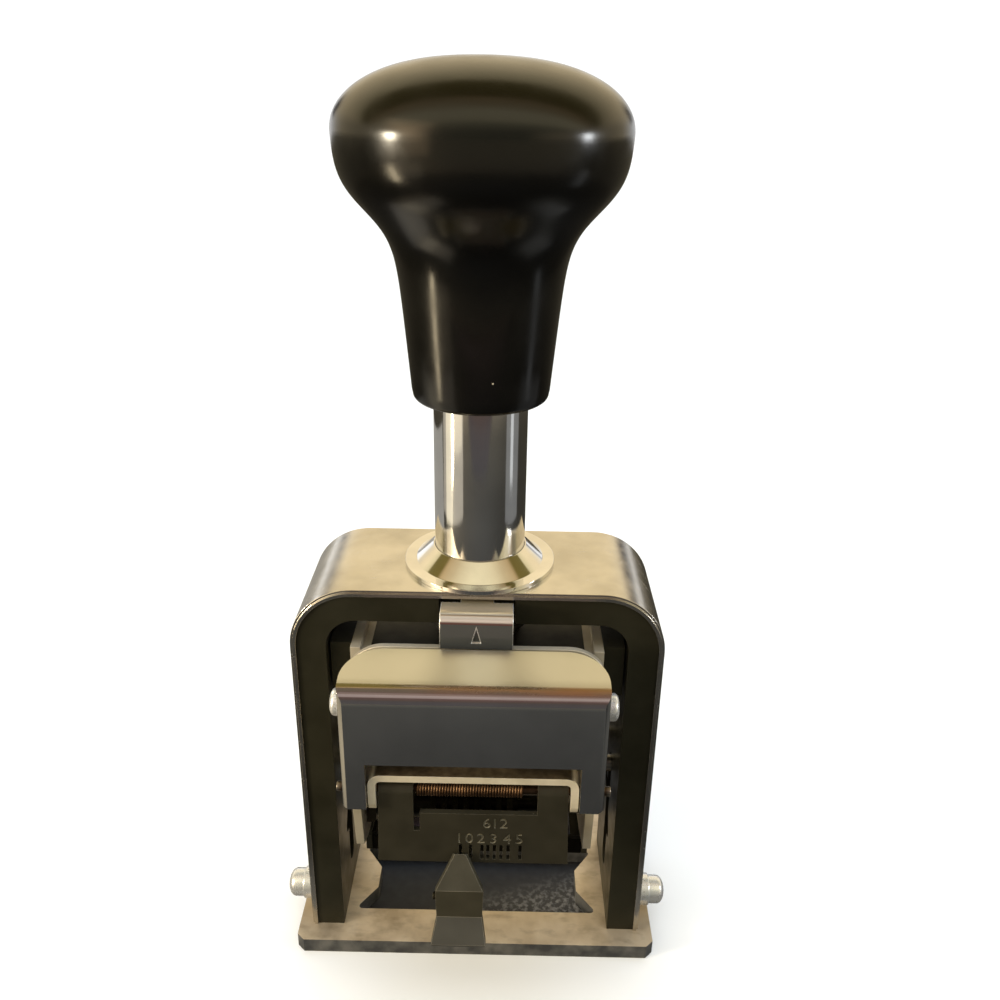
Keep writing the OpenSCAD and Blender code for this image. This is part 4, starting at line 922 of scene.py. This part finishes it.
def add_flag():
    """A soft-edged brown flag, where the photographer would be, that only mirroring faces below it show."""
    def build(bm):
        bm.faces.new([bm.verts.new((FLAG_HALF * side, *end)) for side, end in
                      ((-1, FLAG_LOW), (1, FLAG_LOW), (1, FLAG_HIGH), (-1, FLAG_HIGH))])
    look = Look("flag", Base_Color=(0, 0, 0, 1), Roughness=1, Emission_Strength=1)
    x, _, z = look.spot()
    height = look.math("DIVIDE", look.math("SUBTRACT", z, FLAG_LOW[1]), FLAG_HIGH[1] - FLAG_LOW[1])
    across = look.math("DIVIDE", look.math("ABSOLUTE", x), FLAG_HALF)
    from_below = look.math("LESS_THAN", look.facing()["Z"], 0.0)
    cover = look.product(look.fade(across, low=0.6, high=1.0), look.fade(height, low=0.97, high=1.0),
                         from_below)
    look.join(look.ramp(height, *FLAG_BANDS), look.shader.inputs["Emission Color"])
    look.join(cover, look.shader.inputs["Alpha"])
    flag = add_piece("flag", mesh_from("flag", build), look.material)
    flag.visible_camera = flag.visible_diffuse = flag.visible_shadow = False


add_flag()


# Sky: bands by the angle in degrees over the part, from the horizon behind to the one in front

HALF_TURN = 180
SKY_BANDS = [(0, (1.1, 1.1, 1.1)), (7, (1.12, 1.1, 1.06)), (13, (1.2, 1.02, 0.72)), (24, (1.2, 0.96, 0.58)),
             (40, (1.2, 0.97, 0.58)), (50, (1.05, 0.87, 0.5)), (57, (0.95, 0.78, 0.44)),
             (60, (0.22, 0.17, 0.05)), (86, (0.22, 0.16, 0.04)), (92, (0.66, 0.46, 0.22)),
             (104, (0.78, 0.6, 0.33)), (119, (1.25, 1.1, 0.7)), (136, (1.2, 1.05, 0.66)),
             (148, (0.62, 0.56, 0.36)), (164, (0.32, 0.29, 0.2)), (180, (0.28, 0.26, 0.18))]
CORNER_X = [(0.34, 0.0), (0.4, 1.0), (0.5, 1.0), (0.58, 0.0)]
CORNER_Z = [(0.05, 0.0), (0.09, 1.0), (0.2, 1.0), (0.28, 0.0)]
CORNER_DARK = (0.05, 0.05, 0.065)
SIDE_CREAM = (0.8, 0.66, 0.42)
BACKDROP = (1.1, 1.1, 1.1)


class Sky(Look):
    """The world's light, built from the direction that is looked in."""

    def __init__(self):
        world = bpy.data.worlds.new("sky")
        scene.world = world
        world.use_nodes = True
        self.tree = world.node_tree
        self.light = self.tree.nodes["Background"]

    def direction(self):
        return self.split(self.node("ShaderNodeTexCoord").outputs["Generated"])


def add_sky():
    """Bands from a white horizon behind to a dim room in front; the camera sees a plain backdrop."""
    sky = Sky()
    x, y, z = sky.direction()
    aside = sky.math("ABSOLUTE", x)
    turn = sky.math("DIVIDE", sky.math("ARCTAN2", sky.math("ABSOLUTE", z), y), math.pi)
    bands = sky.ramp(turn, *((angle / HALF_TURN, colour) for angle, colour in SKY_BANDS))
    behind = sky.math("GREATER_THAN", y, 0.0)
    corners = sky.product(sky.ramp(aside, *CORNER_X), sky.ramp(z, *CORNER_Z), behind)
    low_sides = sky.product(sky.span(aside, low=0.5, high=0.85), sky.fade(z, low=0.12, high=0.35))
    room = sky.mix(corners, sky.mix(low_sides, bands, SIDE_CREAM), CORNER_DARK)
    seen = sky.node("ShaderNodeLightPath").outputs["Is Camera Ray"]
    sky.join(sky.mix(seen, room, BACKDROP), sky.light.inputs["Color"])


add_sky()


# Lights: a broad one from above, and panels round the plunger's axis that polished faces show

KNOB_MIDDLE = (0, 0, 0.128)
COLUMN_MIDDLE = (0, 0, 0.073)
FOOT = (0, 0, 0.032)
TOP_SPREAD = math.radians(80)
WINDOW = (0.3, 0.36)
WINDOW_SHARES = (0.4, 0.7, 1.0)
WINDOW_FAR = 0.45
WINDOW_STEP = 0.01
PANELS = [
    *(dict(name=f"window_{step}", angle=-55, distance=WINDOW_FAR - WINDOW_STEP * step, height=0.2,
           aim=KNOB_MIDDLE, size=(WINDOW[0] * share, WINDOW[1] * share), radiance=1.0, colour=(1, 0.7, 0.4))
      for step, share in enumerate(WINDOW_SHARES)),
    dict(name="lamp", angle=-67, distance=0.4, height=0.125, aim=KNOB_MIDDLE, size=(0.055, 0.065),
         radiance=85, colour=(1, 0.9, 0.68)),
    dict(name="left_glow", angle=-60, distance=0.22, height=0.034, aim=FOOT, size=(0.13, 0.06),
         radiance=0.45, colour=(1, 0.86, 0.6)),
    dict(name="left_strip", angle=-69, distance=0.2, height=0.034, aim=FOOT, size=(0.014, 0.06),
         radiance=18, colour=(1, 0.83, 0.54)),
    dict(name="column_glow", angle=-66, distance=0.036, height=0.073, aim=COLUMN_MIDDLE, size=(0.038, 0.024),
         radiance=0.4, colour=(1, 0.9, 0.74)),
    dict(name="column_strip", angle=-74, distance=0.035, height=0.073, aim=COLUMN_MIDDLE, size=(0.012, 0.024),
         radiance=0.6, colour=(1, 0.88, 0.62)),
    dict(name="column_left", angle=-128, distance=0.04, height=0.06, aim=COLUMN_MIDDLE, size=(0.05, 0.03),
         radiance=0.33, colour=(1, 0.96, 0.88)),
    dict(name="column_right", angle=80, distance=0.036, height=0.073, aim=COLUMN_MIDDLE, size=(0.024, 0.024),
         radiance=0.17, colour=(0.96, 0.98, 1)),
    dict(name="right_pane", angle=82, distance=0.4, height=0.135, aim=KNOB_MIDDLE, size=(0.05, 0.07),
         radiance=30, colour=(0.93, 0.97, 1)),
    dict(name="right_strip", angle=83, distance=0.2, height=0.03, aim=FOOT, size=(0.03, 0.06),
         radiance=0.5, colour=(0.95, 0.98, 1)),
]


def add_light(name, kind, place, aim, energy, colour):
    """A light that faces its aim; lights don't show to the camera themselves."""
    data = bpy.data.lights.new(name, kind)
    data.energy = energy
    data.color = colour
    light = bpy.data.objects.new(name, data)
    scene.collection.objects.link(light)
    light.location = place
    light.rotation_mode = "QUATERNION"
    light.rotation_quaternion = (Vector(aim) - Vector(place)).to_track_quat("-Z", "Y")
    light.visible_camera = False
    return light


def add_panel(name, angle, distance, height, aim, size, radiance, colour):
    """A soft rectangular panel; its angle in degrees goes from the front to the right."""
    turn = math.radians(angle)
    place = (distance * math.sin(turn), -distance * math.cos(turn), height)
    light = add_light(name, "AREA", place, aim, radiance * math.pi * size[0] * size[1], colour)
    light.data.shape = "RECTANGLE"
    light.data.size, light.data.size_y = size


top = add_light("top", "SUN", place=(0, 0.1, 1), aim=(0, 0, 0), energy=2.6, colour=(0.6, 0.76, 1))
top.data.angle = TOP_SPREAD
top.visible_glossy = False
for panel in PANELS:
    add_panel(**panel)

scene.view_settings.view_transform = "Standard"
